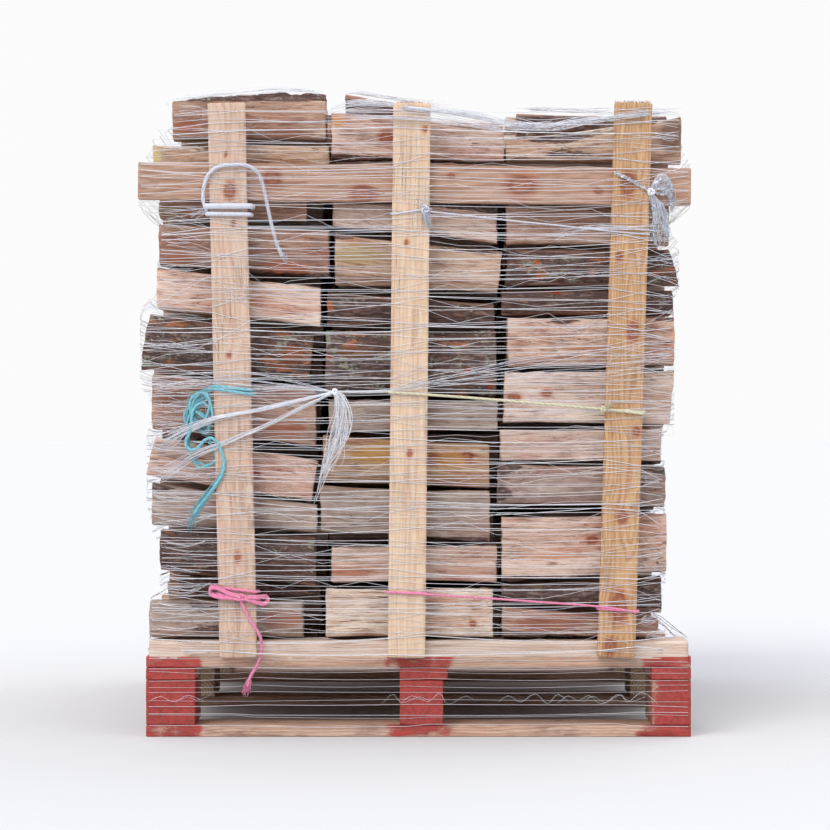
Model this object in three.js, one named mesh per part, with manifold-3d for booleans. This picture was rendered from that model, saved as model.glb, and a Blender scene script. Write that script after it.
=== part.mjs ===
// A pallet of split firewood. Three bays of short logs lie side by side on a block pallet. A base board,
// a rail and three battens frame them at the front and again at the back, twines tie the battens, and a
// net wraps the whole. Millimetres, +Z up, the front of the stack towards -Y.

import * as THREE from 'three';
import { mergeVertices } from 'three/addons/utils/BufferGeometryUtils.js';
import Module from 'manifold-3d';

const wasm = await Module();
wasm.setup();

// Driving dimensions.
const PALLET_WIDTH = 1000;
const PALLET_DEPTH = 1200;
const FACE_GAP = 0.3; // between two pieces that touch

const BOTTOM_BOARD = { thick: 21, deep: 110 };
const BLOCK = { high: 82.7, deep: 145 };
const STRINGER = { thick: 22.7 };
const DECK_BOARD = { thick: 20.7, deep: 140, count: 5 };
const BLOCK_COLUMNS = { left: [-500, -409], middle: [-35, 46], right: [427, 500] };

const BASE_BOARD = { thick: 27.7, deep: 100, left: -494, right: 496, edgeRadius: 9 };
const RAIL = { thick: 22, high: 69, long: 1014, centreX: -7.3, centreZ: 1014 };
const BATTEN = { thick: 22, wide: 69, long: 1013, foot: 146.5 };
const FRONT_TILTS = { rail: 0.0113, left: -0.0217, middle: 0.0099, right: 0.0315 };
const BACK_TILTS = { rail: -0.0075, left: 0.0105, middle: -0.0072, right: -0.0184 };
const FRONT_BATTENS = { left: -340, middle: -17, right: 377 };
const BACK_BATTENS = { left: -352, middle: 12, right: 361 };

const LOG_FACE = 577.4; // how far from the middle the front logs' faces may come
const LOG_DEEP = 118;
const ROW_LOG_DEEP = 165; // for a front log that is part of the rows behind it
const ROW_FRONT = -450;
const ROW_BACK = 577;
const LOG_STEPS = 3;

const NET = { low: 152, high: 1146, strands: 20, strandHigh: 3, thick: 1.5, cornerWide: 4 };
const NET_CORNERS = { sideX: 517, rightX: 503, sideY: 603.5, frontX: 392, frontRightX: 431, frontY: 635 };

// Heights of the pallet's layers, from the floor up.
const blockFoot = BOTTOM_BOARD.thick + FACE_GAP;
const stringerFoot = blockFoot + BLOCK.high + FACE_GAP;
const deckFoot = stringerFoot + STRINGER.thick + FACE_GAP;
const deckTop = deckFoot + DECK_BOARD.thick;
const baseFoot = deckTop + FACE_GAP;
const stackFoot = baseFoot + BASE_BOARD.thick + FACE_GAP;
const frameFace = PALLET_DEPTH / 2;

const paint = (color, roughness) => new THREE.MeshStandardMaterial({ color, roughness, metalness: 0 });
const WOOD = {
  board: paint(0xcfae93, 0.85),
  painted: paint(0xb8463a, 0.75),
  base: paint(0xe3cdb6, 0.8),
  rail: paint(0xd9a983, 0.8),
  pale: paint(0xe6c79f, 0.8),
  golden: paint(0xd9a866, 0.8),
  split: paint(0xd8b092, 0.9),
  pink: paint(0xe0b8a2, 0.9),
  brown: paint(0x9c705a, 0.95),
  bark: paint(0x5f4a42, 1),
  mossy: paint(0xb0863f, 0.95),
  grey: paint(0xa89a8c, 0.95),
};
const CORD = {
  grey: paint(0xb9c0cc, 0.8),
  teal: paint(0x63b1c0, 0.7),
  yellow: paint(0xe2e0a0, 0.7),
  pink: paint(0xe0669c, 0.7),
  thin: paint(0x8a93a3, 0.8),
  net: paint(0xf1f3f8, 0.6),
};

const bundle = new THREE.Group();
const cords = new Set();

function add(name, geometry, material) {
  const mesh = new THREE.Mesh(geometry, material);
  mesh.name = name;
  bundle.add(mesh);
  return mesh;
}

function addBox(name, material, [x0, x1], [y0, y1], [z0, z1]) {
  const mesh = add(name, new THREE.BoxGeometry(x1 - x0, y1 - y0, z1 - z0), material);
  mesh.position.set((x0 + x1) / 2, (y0 + y1) / 2, (z0 + z1) / 2);
  return mesh;
}

// The pallet: boards on the floor, blocks, stringers from front to back, and the deck.
function buildPallet() {
  const edge = PALLET_WIDTH / 2;
  const rows = {
    front: [-frameFace, -frameFace + BLOCK.deep],
    middle: [-BLOCK.deep / 2, BLOCK.deep / 2],
    back: [frameFace - BLOCK.deep, frameFace],
  };
  const bottomRows = {
    front: [-frameFace, -frameFace + BOTTOM_BOARD.deep],
    middle: [-BOTTOM_BOARD.deep / 2, BOTTOM_BOARD.deep / 2],
    back: [frameFace - BOTTOM_BOARD.deep, frameFace],
  };
  for (const [row, span] of Object.entries(bottomRows)) {
    addBox(`bottom_board_${row}`, WOOD.board, [-edge, edge], span, [0, BOTTOM_BOARD.thick]);
  }
  for (const [column, span] of Object.entries(BLOCK_COLUMNS)) {
    for (const [row, rowSpan] of Object.entries(rows)) {
      const heights = [blockFoot, blockFoot + BLOCK.high];
      addBox(`block_${row}_${column}`, WOOD.painted, span, rowSpan, heights);
    }
    const wide = span[1] + (column === 'middle' ? 8 : 0);
    const stringerHeights = [stringerFoot, stringerFoot + STRINGER.thick];
    addBox(`stringer_${column}`, WOOD.board, [span[0], wide], [-frameFace, frameFace], stringerHeights);
  }
  const pitch = (PALLET_DEPTH - DECK_BOARD.deep) / (DECK_BOARD.count - 1);
  for (let i = 0; i < DECK_BOARD.count; i += 1) {
    const y = -frameFace + i * pitch;
    addBox(`deck_board_${i + 1}`, WOOD.board, [-edge, edge], [y, y + DECK_BOARD.deep], [deckFoot, deckTop]);
  }
}

// A base board's end view is a long rectangle whose upper edges are rounded.
function baseBoardGeometry() {
  const { left, right, thick, deep, edgeRadius: r } = BASE_BOARD;
  const shape = new THREE.Shape();
  shape.moveTo(left, 0);
  shape.lineTo(right - r / 2, 0);
  shape.absarc(right - r, r, r, -Math.PI / 3, Math.PI / 2, false);
  shape.lineTo(right - 2 * r, thick);
  shape.lineTo(left, thick);
  shape.closePath();
  const geometry = new THREE.ExtrudeGeometry(shape, { depth: deep, bevelEnabled: false, curveSegments: 5 });
  return geometry.rotateX(Math.PI / 2);
}

// One side of the frame: side is -1 at the front and 1 at the back.
function buildFrame(name, side, tilts, battens) {
  const base = add(`base_board_${name}`, baseBoardGeometry(), WOOD.base);
  base.position.set(0, side < 0 ? -frameFace + BASE_BOARD.deep : frameFace, baseFoot);

  const rail = add(`rail_${name}`, new THREE.BoxGeometry(RAIL.long, RAIL.thick, RAIL.high), WOOD.rail);
  rail.position.set(RAIL.centreX, side * (frameFace - RAIL.thick / 2), RAIL.centreZ);
  rail.rotation.y = tilts.rail;

  for (const [place, x] of Object.entries(battens)) {
    const wood = place === 'right' ? WOOD.golden : WOOD.pale;
    const shape = new THREE.BoxGeometry(BATTEN.wide, BATTEN.thick, BATTEN.long);
    const batten = add(`batten_${name}_${place}`, shape, wood);
    const y = frameFace + FACE_GAP + BATTEN.thick / 2;
    batten.position.set(x, side * y, BATTEN.foot + BATTEN.long / 2 + Math.abs(tilts[place]) * 30);
    batten.rotation.y = tilts[place];
  }
}

// Cross-sections of a log, from its front face (0) to its back (1), and from its foot to its top.
const SECTIONS = {
  split: [[0, -0.5], [0, 0.46], [0.05, 0.5], [0.5, 0.42], [0.86, 0.2], [1, -0.1], [0.85, -0.4], [0.4, -0.5]],
  bark: [[0.24, -0.5], [0.07, -0.34], [0, 0], [0.05, 0.3], [0.26, 0.5], [0.75, 0.38], [1, 0], [0.8, -0.45]],
  edge: [[0.1, -0.5], [0, -0.3], [0, 0.5], [0.5, 0.48], [0.95, 0.3], [1, -0.1], [0.6, -0.42], [0.3, -0.5]],
};

// A log's section is drawn out along X, then each vertex moves to the taper between its two sawn ends.
// left and right are the heights of its foot and top there, and lean is how far an end's top stands
// to the right of its foot.
function logGeometry(log) {
  const outline = new THREE.Shape(SECTIONS[log.cut].map(([d, h]) => new THREE.Vector2(d, h)));
  const bar = new THREE.ExtrudeGeometry(outline, { depth: 1, steps: LOG_STEPS, bevelEnabled: false });
  const spot = bar.getAttribute('position');
  const mix = THREE.MathUtils.lerp;
  const deep = log.own ? LOG_DEEP : ROW_LOG_DEEP;
  for (let i = 0; i < spot.count; i += 1) {
    const [d, h, along] = [spot.getX(i), spot.getY(i), spot.getZ(i)];
    const foot = mix(log.left[0], log.right[0], along);
    const top = mix(log.left[1], log.right[1], along);
    const waist = 1 - 0.05 * Math.sin(Math.PI * along);
    const x = mix(log.x[0], log.x[1], along) + mix(log.lean[0], log.lean[1], along) * h;
    const y = -LOG_FACE + log.set + d * (deep - log.set);
    spot.setXYZ(i, x, y, (foot + top) / 2 + h * waist * (top - foot));
  }
  return bar;
}

// The logs at the front of each bay, from the top down. own is false for one that is part of the rows
// behind it. set is how far its face lies back from the foremost one.
const log = (bay, number, cut, wood, x, left, right, set, more = {}) => ({
  name: `log_${bay}_${number}`, bay, cut, wood, x, left, right, set, lean: [0, 0], own: true, ...more,
});
const row = { own: false };
const FRONT_LOGS = [
  log('left', '01', 'split', 'brown', [-454, -171], [1098, 1165], [1098, 1177], 6),
  log('left', '02', 'edge', 'split', [-491, -165], [1041, 1090], [1038, 1087], 12, row),
  log('left', '03', 'split', 'brown', [-478, -207], [952, 1034], [948, 1032], 10, row),
  log('left', '04', 'split', 'brown', [-478, -165], [866, 943], [843, 932], 4),
  log('left', '05', 'edge', 'pink', [-482, -180], [787, 860], [753, 826], 0),
  log('left', '06', 'bark', 'bark', [-505, -198], [672, 779], [648, 747], 2, { lean: [18, 11] }),
  log('left', '07', 'split', 'brown', [-491, -189], [564, 666], [532, 640], 9),
  log('left', '08', 'split', 'split', [-493, -192], [480, 551], [429, 506], 0, { lean: [18, 12] }),
  log('left', '09', 'edge', 'grey', [-491, -187], [387, 465], [372, 424], 5, row),
  log('left', '10', 'bark', 'bark', [-477, -191], [301, 380], [272, 366], 4, row),
  log('left', '11', 'bark', 'bark', [-445, -191], [254, 294], [253, 266], 46, row),
  log('left', '12', 'edge', 'grey', [-496, -213], [179.5, 247], [179.5, 247], 3),

  log('middle', '01', 'split', 'pink', [-160, 157], [1060, 1150], [1057, 1129], 2),
  log('middle', '02', 'bark', 'bark', [-148, 138], [990, 1053], [985, 1050], 30, row),
  log('middle', '03', 'split', 'pink', [-158, 145], [941, 984], [906, 978], 14, row),
  log('middle', '04', 'edge', 'split', [-154, 150], [829, 925], [816, 892], 3, { lean: [0, 9] }),
  log('middle', '05', 'bark', 'bark', [-169, 140], [756, 819], [756, 797], 12, row),
  log('middle', '06', 'bark', 'bark', [-171, 143], [624, 750], [624, 748], 4),
  log('middle', '07', 'split', 'grey', [-165, 146], [558, 619], [562, 618], 8, row),
  log('middle', '08', 'edge', 'mossy', [-176, 130], [465, 553], [454, 535], 2),
  log('middle', '09', 'split', 'grey', [-180, 131], [376, 461], [357, 450], 0),
  log('middle', '11', 'split', 'pink', [-160, 144], [281, 348], [281, 352], 9, row),
  log('middle', '12', 'split', 'split', [-171, 137], [179.5, 272], [179.5, 272], 0),

  log('right', '01', 'edge', 'split', [161, 484], [1056, 1093], [1052, 1141], 2),
  log('right', '02', 'bark', 'bark', [172, 455], [987, 1046], [985, 1044], 30, row),
  log('right', '03', 'split', 'brown', [162, 462], [904, 979], [903, 979], 8, row),
  log('right', '04', 'bark', 'bark', [163, 472], [828, 899], [828, 899], 2, { lean: [6, -18] }),
  log('right', '05', 'bark', 'bark', [154, 469], [774, 823], [774, 823], 9, row),
  log('right', '06', 'edge', 'pink', [164, 471], [679, 769], [679, 770], 0),
  log('right', '07', 'split', 'pink', [158, 467], [575, 673], [575, 674], 3, { lean: [3, 10] }),
  log('right', '08', 'split', 'split', [151, 447], [505, 564], [500, 566], 5),
  log('right', '09', 'edge', 'grey', [146, 454], [425, 499], [420, 494], 1),
  log('right', '10', 'split', 'pink', [154, 456], [284, 404], [301, 409], 0),
  log('right', '11', 'bark', 'bark', [154, 449], [244, 278], [222, 293], 8, row),
  log('right', '12', 'split', 'brown', [154, 441], [181, 237], [181, 216], 6, row),
];

// The rows behind the front logs, one block of wood a bay, with the top stepped as the logs lie.
const ROWS = {
  left: { x: [-496, -182], tops: [1168, 1186, 1150, 1172] },
  middle: { x: [-160, 148], tops: [1200, 1182, 1196, 1160] },
  right: { x: [160, 474], tops: [1152, 1176, 1138, 1165] },
};

function toManifold(geometry) {
  const bare = geometry.clone();
  bare.deleteAttribute('normal');
  bare.deleteAttribute('uv');
  const welded = mergeVertices(bare, 1e-4);
  const vertProperties = new Float32Array(welded.getAttribute('position').array);
  const triVerts = new Uint32Array(welded.getIndex().array);
  return new wasm.Manifold(new wasm.Mesh({ numProp: 3, vertProperties, triVerts }));
}

function fromManifold(solid) {
  const { vertProperties, triVerts } = solid.getMesh();
  const geometry = new THREE.BufferGeometry();
  geometry.setAttribute('position', new THREE.BufferAttribute(vertProperties, 3));
  geometry.setIndex(new THREE.BufferAttribute(triVerts, 1));
  geometry.computeVertexNormals();
  return geometry;
}

// The side view of a bay's rows, drawn along Y and Z, with a step down to the deck between base boards.
function rowGeometry({ x, tops }) {
  const baseInner = frameFace - BASE_BOARD.deep - FACE_GAP;
  const shape = new THREE.Shape();
  shape.moveTo(ROW_FRONT, baseFoot);
  shape.lineTo(baseInner, baseFoot);
  shape.lineTo(baseInner, stackFoot);
  shape.lineTo(ROW_BACK, stackFoot);
  const pitch = (ROW_BACK - ROW_FRONT) / tops.length;
  for (let i = tops.length - 1; i >= 0; i -= 1) {
    shape.lineTo(ROW_FRONT + (i + 1) * pitch, tops[i]);
    shape.lineTo(ROW_FRONT + i * pitch, tops[i]);
  }
  shape.closePath();
  const slab = new THREE.ExtrudeGeometry(shape, { depth: x[1] - x[0], bevelEnabled: false });
  slab.applyMatrix4(new THREE.Matrix4().makeBasis(
    new THREE.Vector3(0, 1, 0), new THREE.Vector3(0, 0, 1), new THREE.Vector3(1, 0, 0),
  ));
  return slab.translate(x[0], 0, 0);
}

function buildStack() {
  for (const piece of FRONT_LOGS.filter((each) => each.own)) {
    add(piece.name, logGeometry(piece), WOOD[piece.wood]);
  }
  for (const [bay, rows] of Object.entries(ROWS)) {
    let solid = toManifold(rowGeometry(rows));
    for (const piece of FRONT_LOGS.filter((each) => !each.own && each.bay === bay)) {
      solid = solid.add(toManifold(logGeometry(piece)));
    }
    add(`log_rows_${bay}`, fromManifold(solid), WOOD.split);
  }
}

// The net's main strands run level round the battens, the rails' ends and the twines, just clear of
// them, and upright strands join them at the corners.
function buildNet() {
  const { sideX, rightX, sideY, frontX, frontRightX, frontY } = NET_CORNERS;
  const half = [[-sideX, -sideY], [-frontX, -frontY], [frontRightX, -frontY], [rightX, -sideY]];
  const corners = [...half, ...half.map(([x, y]) => [x, -y]).reverse()];
  const moved = ([x, y], by) => new THREE.Vector2(x + Math.sign(x) * by, y + Math.sign(y) * by);
  const loop = new THREE.Shape(corners.map((corner) => moved(corner, NET.thick)));
  loop.holes.push(new THREE.Path(corners.map((corner) => moved(corner, 0))));
  const strand = new THREE.ExtrudeGeometry(loop, { depth: NET.strandHigh, bevelEnabled: false });
  const height = NET.high - NET.low;

  let net = toManifold(new THREE.BoxGeometry(NET.cornerWide, NET.cornerWide, height)
    .translate(...moved(corners[0], NET.cornerWide / 2), NET.low + height / 2));
  for (const corner of corners.slice(1)) {
    const upright = new THREE.BoxGeometry(NET.cornerWide, NET.cornerWide, height);
    upright.translate(...moved(corner, NET.cornerWide / 2), NET.low + height / 2);
    net = net.add(toManifold(upright));
  }
  const pitch = (height - NET.strandHigh) / (NET.strands - 1);
  for (let i = 0; i < NET.strands; i += 1) {
    net = net.add(toManifold(strand.clone().translate(0, 0, NET.low + i * pitch)));
  }
  add('net_wrap', fromManifold(net), CORD.net);
}

// The free twines. Each is a round tube along its points, with a step every few diameters.
const TWINES = {
  grey_rope: {
    colour: 'grey', across: 7, points: [
      [-386, -620, 962], [-392, -623, 977], [-393, -625, 994], [-390, -626, 1012], [-384, -627.5, 1027],
      [-372, -627.5, 1039], [-356, -627.5, 1045], [-337, -627.5, 1046.5], [-318, -627.5, 1046],
      [-303, -624, 1041], [-292.5, -618, 1031], [-286, -612, 1015], [-281, -608, 995], [-277, -605, 975],
      [-272, -603, 951], [-266, -602, 926], [-259, -601, 902], [-250, -600, 880],
    ],
  },
  teal_twine: {
    colour: 'teal', across: 6, points: [
      [-379, -620, 637], [-393, -617, 634], [-408, -613, 624], [-420, -610, 607], [-423, -608, 588],
      [-415, -606, 572], [-400, -606, 565], [-386, -607, 573], [-379, -610, 589], [-384, -614, 606],
      [-397, -618, 612], [-409, -619, 603], [-414, -619, 587], [-415, -618, 570], [-419, -617, 555],
      [-425, -616, 542], [-422, -617, 530], [-411, -619, 526], [-400, -621, 533], [-390, -624, 544],
      [-378, -627, 548], [-367, -627, 540], [-360, -627, 525], [-355, -627, 509], [-355, -627, 492],
      [-361, -627, 476], [-372, -626, 460], [-385, -622, 443], [-399, -617, 425], [-411, -612, 407],
    ],
  },
  yellow_twine: {
    colour: 'yellow', across: 5, points: [
      [-56, -626, 631.5], [-20, -626, 629.5], [16, -626, 627], [60, -625.5, 624], [120, -625, 619.5],
      [180, -625, 614.5], [240, -625.5, 609.5], [300, -626, 604], [336, -626, 601], [372, -626, 597],
      [412, -626, 592],
    ],
  },
  pink_twine: {
    colour: 'pink', across: 6, points: [
      [-326, -626.5, 256], [-322, -628, 247], [-318, -628, 238], [-313.5, -627.5, 228], [-308, -627, 217],
      [-301, -627.5, 207], [-293, -627, 195], [-287.5, -625, 181], [-286, -621, 166], [-289, -617, 150],
      [-294, -613, 135], [-302, -611, 121], [-309, -610, 108], [-313.5, -609, 93],
    ],
  },
  pink_line: {
    colour: 'pink', across: 4, points: [
      [-60, -625.5, 267], [-20, -625.5, 265], [20, -625.5, 262.5], [80, -625, 258.5], [150, -624.5, 254],
      [220, -624.5, 249], [290, -625, 244], [330, -625.5, 240.5], [365, -625.5, 236], [400, -625.5, 230],
    ],
  },
  thin_line: {
    colour: 'thin', across: 3, points: [
      [14, -625, 962], [60, -624.5, 957], [120, -624, 950], [180, -624, 943.5], [240, -624, 937.5],
      [300, -624.5, 931], [350, -625, 925.5], [390, -625, 922], [422, -625, 919.5],
    ],
  },
};
const TWINE_SIDES = 8;

function buildTwine(name, { colour, across, points }) {
  const spots = points.map((point) => new THREE.Vector3(...point));
  const route = new THREE.CatmullRomCurve3(spots, false, 'centripetal');
  const section = new THREE.Shape();
  section.absarc(0, 0, across / 2, 0, 2 * Math.PI, false);
  const steps = Math.min(78, Math.round(route.getLength() / (2.4 * across)));
  const options = { steps, curveSegments: TWINE_SIDES / 2, extrudePath: route, bevelEnabled: false };
  cords.add(add(name, new THREE.ExtrudeGeometry(section, options), CORD[colour]));
}

buildPallet();
buildFrame('front', -1, FRONT_TILTS, FRONT_BATTENS);
buildFrame('back', 1, BACK_TILTS, BACK_BATTENS);
buildStack();
buildNet();
for (const [name, twine] of Object.entries(TWINES)) buildTwine(name, twine);

// The origin goes under the middle of everything but the twines.
bundle.updateMatrixWorld(true);
const extent = new THREE.Box3();
for (const piece of bundle.children) {
  if (!cords.has(piece)) extent.expandByObject(piece, true);
}
const middle = extent.getCenter(new THREE.Vector3());
bundle.position.set(-middle.x, -middle.y, -extent.min.z);

export default bundle;
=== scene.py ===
"""The looks of a pallet of split firewood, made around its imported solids. Metres, +Z up, front towards -Y."""

import math

import bpy
import numpy as np
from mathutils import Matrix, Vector


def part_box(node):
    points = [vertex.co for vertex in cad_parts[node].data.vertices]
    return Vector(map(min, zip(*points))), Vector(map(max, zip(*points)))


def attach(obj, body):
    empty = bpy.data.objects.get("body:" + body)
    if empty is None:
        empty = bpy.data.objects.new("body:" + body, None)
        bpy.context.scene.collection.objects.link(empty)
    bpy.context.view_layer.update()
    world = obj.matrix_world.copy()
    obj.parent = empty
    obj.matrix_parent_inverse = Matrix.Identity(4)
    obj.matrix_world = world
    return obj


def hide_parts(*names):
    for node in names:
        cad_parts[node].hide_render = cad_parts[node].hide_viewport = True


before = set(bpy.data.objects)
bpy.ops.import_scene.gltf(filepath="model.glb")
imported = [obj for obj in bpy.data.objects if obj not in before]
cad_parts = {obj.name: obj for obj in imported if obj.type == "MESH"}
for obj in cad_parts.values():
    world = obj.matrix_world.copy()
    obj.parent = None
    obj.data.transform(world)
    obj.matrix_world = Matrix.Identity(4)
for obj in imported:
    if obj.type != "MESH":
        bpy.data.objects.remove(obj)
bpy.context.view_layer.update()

MM = 0.001
BODY = "root"
THIRDS = ("left", "middle", "right")

# The pallet's middle and faces, which everything else is measured from.
pallet_low, pallet_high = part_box("bottom_board_front")
MIDDLE_X = (pallet_low.x + pallet_high.x) / 2
FRONT_Y = pallet_low.y
BACK_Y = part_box("bottom_board_back")[1].y
BASE_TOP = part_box("base_board_front")[1].z
BATTEN_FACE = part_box("batten_front_left")[0].y
LOG_FACE = FRONT_Y + 22.6 * MM
RAIL_LOW, RAIL_HIGH = (corner.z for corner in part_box("rail_front"))


def at(x, y, z):
    """A point given in millimetres from the middle of the pallet's underside."""
    return np.array([x * MM + MIDDLE_X, y * MM, z * MM])


def route(points):
    """Points given in millimetres, as an array in metres."""
    return np.array([at(*point) for point in points])


# ---------------------------------------------------------------- camera

EYE_HEIGHT = 590 * MM
EYE_BACK = 5.2
EYE_LEFT = 6.4 * MM
VIEW_WIDE = 1517 * MM


def add_camera():
    """A level camera square on to the front, as wide as VIEW_WIDE at the battens."""
    data = bpy.data.cameras.new("camera")
    data.sensor_width = 36
    data.lens = data.sensor_width * (EYE_BACK - 15 * MM) / VIEW_WIDE
    camera = bpy.data.objects.new("camera", data)
    camera.location = (MIDDLE_X - EYE_LEFT, FRONT_Y - EYE_BACK, EYE_HEIGHT)
    camera.rotation_euler = (math.pi / 2, 0, 0)
    bpy.context.collection.objects.link(camera)
    bpy.context.scene.camera = camera


add_camera()


# ---------------------------------------------------------------- noise

PRIMES = (73856093, 19349663, 83492791)  # one for each axis, so that neighbouring cells differ
SEED_PRIME, MIX_PRIME = 2654435761, 1274126177


def hashed(cells, seed):
    """A repeatable random value from 0 to 1 for each whole-number cell."""
    a, b, c = (cells[..., i].astype(np.int64) * prime for i, prime in enumerate(PRIMES))
    mixed = a ^ b ^ c ^ (seed * SEED_PRIME)
    mixed = (mixed ^ (mixed >> 13)) * MIX_PRIME
    return ((mixed ^ (mixed >> 16)) & 0xFFFFFF) / float(0xFFFFFF)


def noise(spots, seed):
    """Smooth noise from 0 to 1, with features one unit across."""
    cells = np.floor(spots)
    part = spots - cells
    part = part * part * (3 - 2 * part)
    total = np.zeros(spots.shape[:-1])
    for corner in np.ndindex(2, 2, 2):
        weight = np.prod([part[..., i] if corner[i] else 1 - part[..., i] for i in range(3)], axis=0)
        total += weight * hashed(cells + corner, seed)
    return total


def layered(spots, octaves, seed):
    """Noise from 0 to 1 with finer and finer layers."""
    total, weight, share = 0, 0, 1.0
    for octave in range(octaves):
        total = total + share * noise(spots * 2 ** octave, seed + 17 * octave)
        weight += share
        share *= 0.5
    return total / weight


def fibrous(along, across):
    """Noise cells to the metre for features so many millimetres long and wide, drawn out along X."""
    return np.array([1 / (along * MM), 1 / (across * MM), 1 / (across * MM)])


def smoothstep(low, high, value):
    part = np.clip((value - low) / (high - low), 0, 1)
    return part * part * (3 - 2 * part)


# ---------------------------------------------------------------- meshes

class Batch:
    """Gathers closed shapes, with values at their vertices, into one mesh."""

    def __init__(self):
        self.spots, self.quads, self.tris, self.values = [], [], [], {}
        self.count = 0

    def add(self, spots, quads, tris, **values):
        self.spots.append(spots)
        self.quads.append(np.asarray(quads, int).reshape(-1, 4) + self.count)
        self.tris.append(np.asarray(tris, int).reshape(-1, 3) + self.count)
        for name, value in values.items():
            self.values.setdefault(name, []).append(value)
        self.count += len(spots)

    def build(self, name, material):
        spots = np.concatenate(self.spots)
        quads, tris = np.concatenate(self.quads), np.concatenate(self.tris)
        mesh = bpy.data.meshes.new(name)
        mesh.vertices.add(len(spots))
        mesh.vertices.foreach_set("co", spots.astype(np.float32).ravel())
        corners = np.concatenate([quads.ravel(), tris.ravel()])
        sizes = np.concatenate([np.full(len(quads), 4), np.full(len(tris), 3)])
        mesh.loops.add(len(corners))
        mesh.loops.foreach_set("vertex_index", corners.astype(np.int32))
        mesh.polygons.add(len(sizes))
        starts = np.concatenate([[0], np.cumsum(sizes)[:-1]])
        mesh.polygons.foreach_set("loop_start", starts.astype(np.int32))
        mesh.polygons.foreach_set("use_smooth", np.ones(len(sizes), bool))
        mesh.update(calc_edges=True)
        for key, parts in self.values.items():
            value = np.concatenate(parts)
            kind, field = ("FLOAT", "value") if value.ndim == 1 else ("FLOAT_VECTOR", "vector")
            attribute = mesh.attributes.new(key, kind, "POINT")
            attribute.data.foreach_set(field, value.astype(np.float32).ravel())
        piece = bpy.data.objects.new(name, mesh)
        bpy.context.collection.objects.link(piece)
        mesh.materials.append(material)
        return piece


def place(piece, slot, *nodes):
    """The piece rides with the stack and stands for the named solids. slot is not used."""
    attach(piece, BODY)
    if nodes:
        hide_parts(*nodes)
    return piece


def bar_faces(stations, count):
    """Side quads of a bar whose vertices run station by station round its section."""
    i, j = np.meshgrid(np.arange(stations - 1), np.arange(count), indexing="ij")
    k = (j + 1) % count
    here, there = i * count, (i + 1) * count
    return np.stack([here + j, here + k, there + k, there + j], -1).reshape(-1, 4)


def capped_bar(rings, shares):
    """A closed bar from rings of points along local X, with shrinking rings on both ends.

    Gives the vertices, quads, triangles and, for each vertex, whether it lies on a sawn end."""
    stations, count = rings.shape[:2]
    spots = [rings.reshape(-1, 3)]
    quads, tris = [bar_faces(stations, count)], []
    total = stations * count
    for end, outer in ((0, np.arange(count)), (1, np.arange(count) + (stations - 1) * count)):
        edge = rings[-end]
        middle = edge.mean(0)
        j = np.arange(count)
        k = (j + 1) % count
        for share in shares:
            spots.append(middle + (edge - middle) * share)
            inner = np.arange(count) + total
            band = np.stack([outer[j], inner[j], inner[k], outer[k]], -1)
            quads.append(band if end == 0 else band[:, ::-1])
            outer = inner
            total += count
        spots.append(middle[None])
        fan = np.stack([outer[j], np.full(count, total), outer[k]], -1)
        tris.append(fan if end == 0 else fan[:, ::-1])
        total += 1
    spots = np.concatenate(spots)
    sawn = np.zeros(len(spots))
    sawn[stations * count:] = 1
    return spots, np.concatenate(quads), np.concatenate(tris), sawn


def resampled(polygon, count, weight=None):
    """count points spaced round a closed polygon, closer together where weight is high."""
    closed = np.vstack([polygon, polygon[:1]])
    steps = np.linalg.norm(np.diff(closed, axis=0), axis=1)
    if weight is not None:
        steps = steps * weight((closed[1:] + closed[:-1]) / 2)
    along = np.concatenate([[0], np.cumsum(steps)])
    wanted = np.linspace(0, along[-1], count, endpoint=False)
    return np.stack([np.interp(wanted, along, closed[:, i]) for i in range(2)], -1)


def rounded(ring, times):
    """Softens a closed ring's corners."""
    for _ in range(times):
        ring = 0.5 * ring + 0.25 * (np.roll(ring, 1, 0) + np.roll(ring, -1, 0))
    return ring


def clockwise(y, z):
    return np.sum(y * np.roll(z, -1) - z * np.roll(y, -1)) <= 0


def anticlockwise(ring):
    return ring[::-1] if clockwise(*ring.T) else ring


def ring_normals(rings):
    """Outward directions round each section, in its own plane."""
    tangent = np.roll(rings, -1, 1) - np.roll(rings, 1, 1)
    outward = np.stack([np.zeros(rings.shape[:2]), tangent[..., 2], -tangent[..., 1]], -1)
    return outward / np.maximum(np.linalg.norm(outward, axis=-1, keepdims=True), 1e-9)


# ---------------------------------------------------------------- tubes and twines

def smooth_path(points, step):
    """A centripetal Catmull-Rom curve through the points, sampled every step."""
    points = np.asarray(points, float)
    ends = np.vstack([2 * points[0] - points[1], points, 2 * points[-1] - points[-2]])
    made = []
    for i in range(len(points) - 1):
        a, b, c, d = ends[i:i + 4]
        gaps = [max(np.linalg.norm(q - p), 1e-6) for p, q in ((a, b), (b, c), (c, d))]
        knots = np.cumsum([0] + [gap ** 0.5 for gap in gaps])
        count = max(2, int(np.linalg.norm(c - b) / step) + 1)
        t = np.linspace(knots[1], knots[2], count, endpoint=i == len(points) - 2)[:, None]

        def between(p, q, lo, hi):
            return p * (hi - t) / (hi - lo) + q * (t - lo) / (hi - lo)

        ab, bc, cd = between(a, b, *knots[:2]), between(b, c, *knots[1:3]), between(c, d, *knots[2:])
        abc, bcd = between(ab, bc, knots[0], knots[2]), between(bc, cd, knots[1], knots[3])
        made.append(between(abc, bcd, knots[1], knots[2]))
    return np.concatenate(made)


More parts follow.
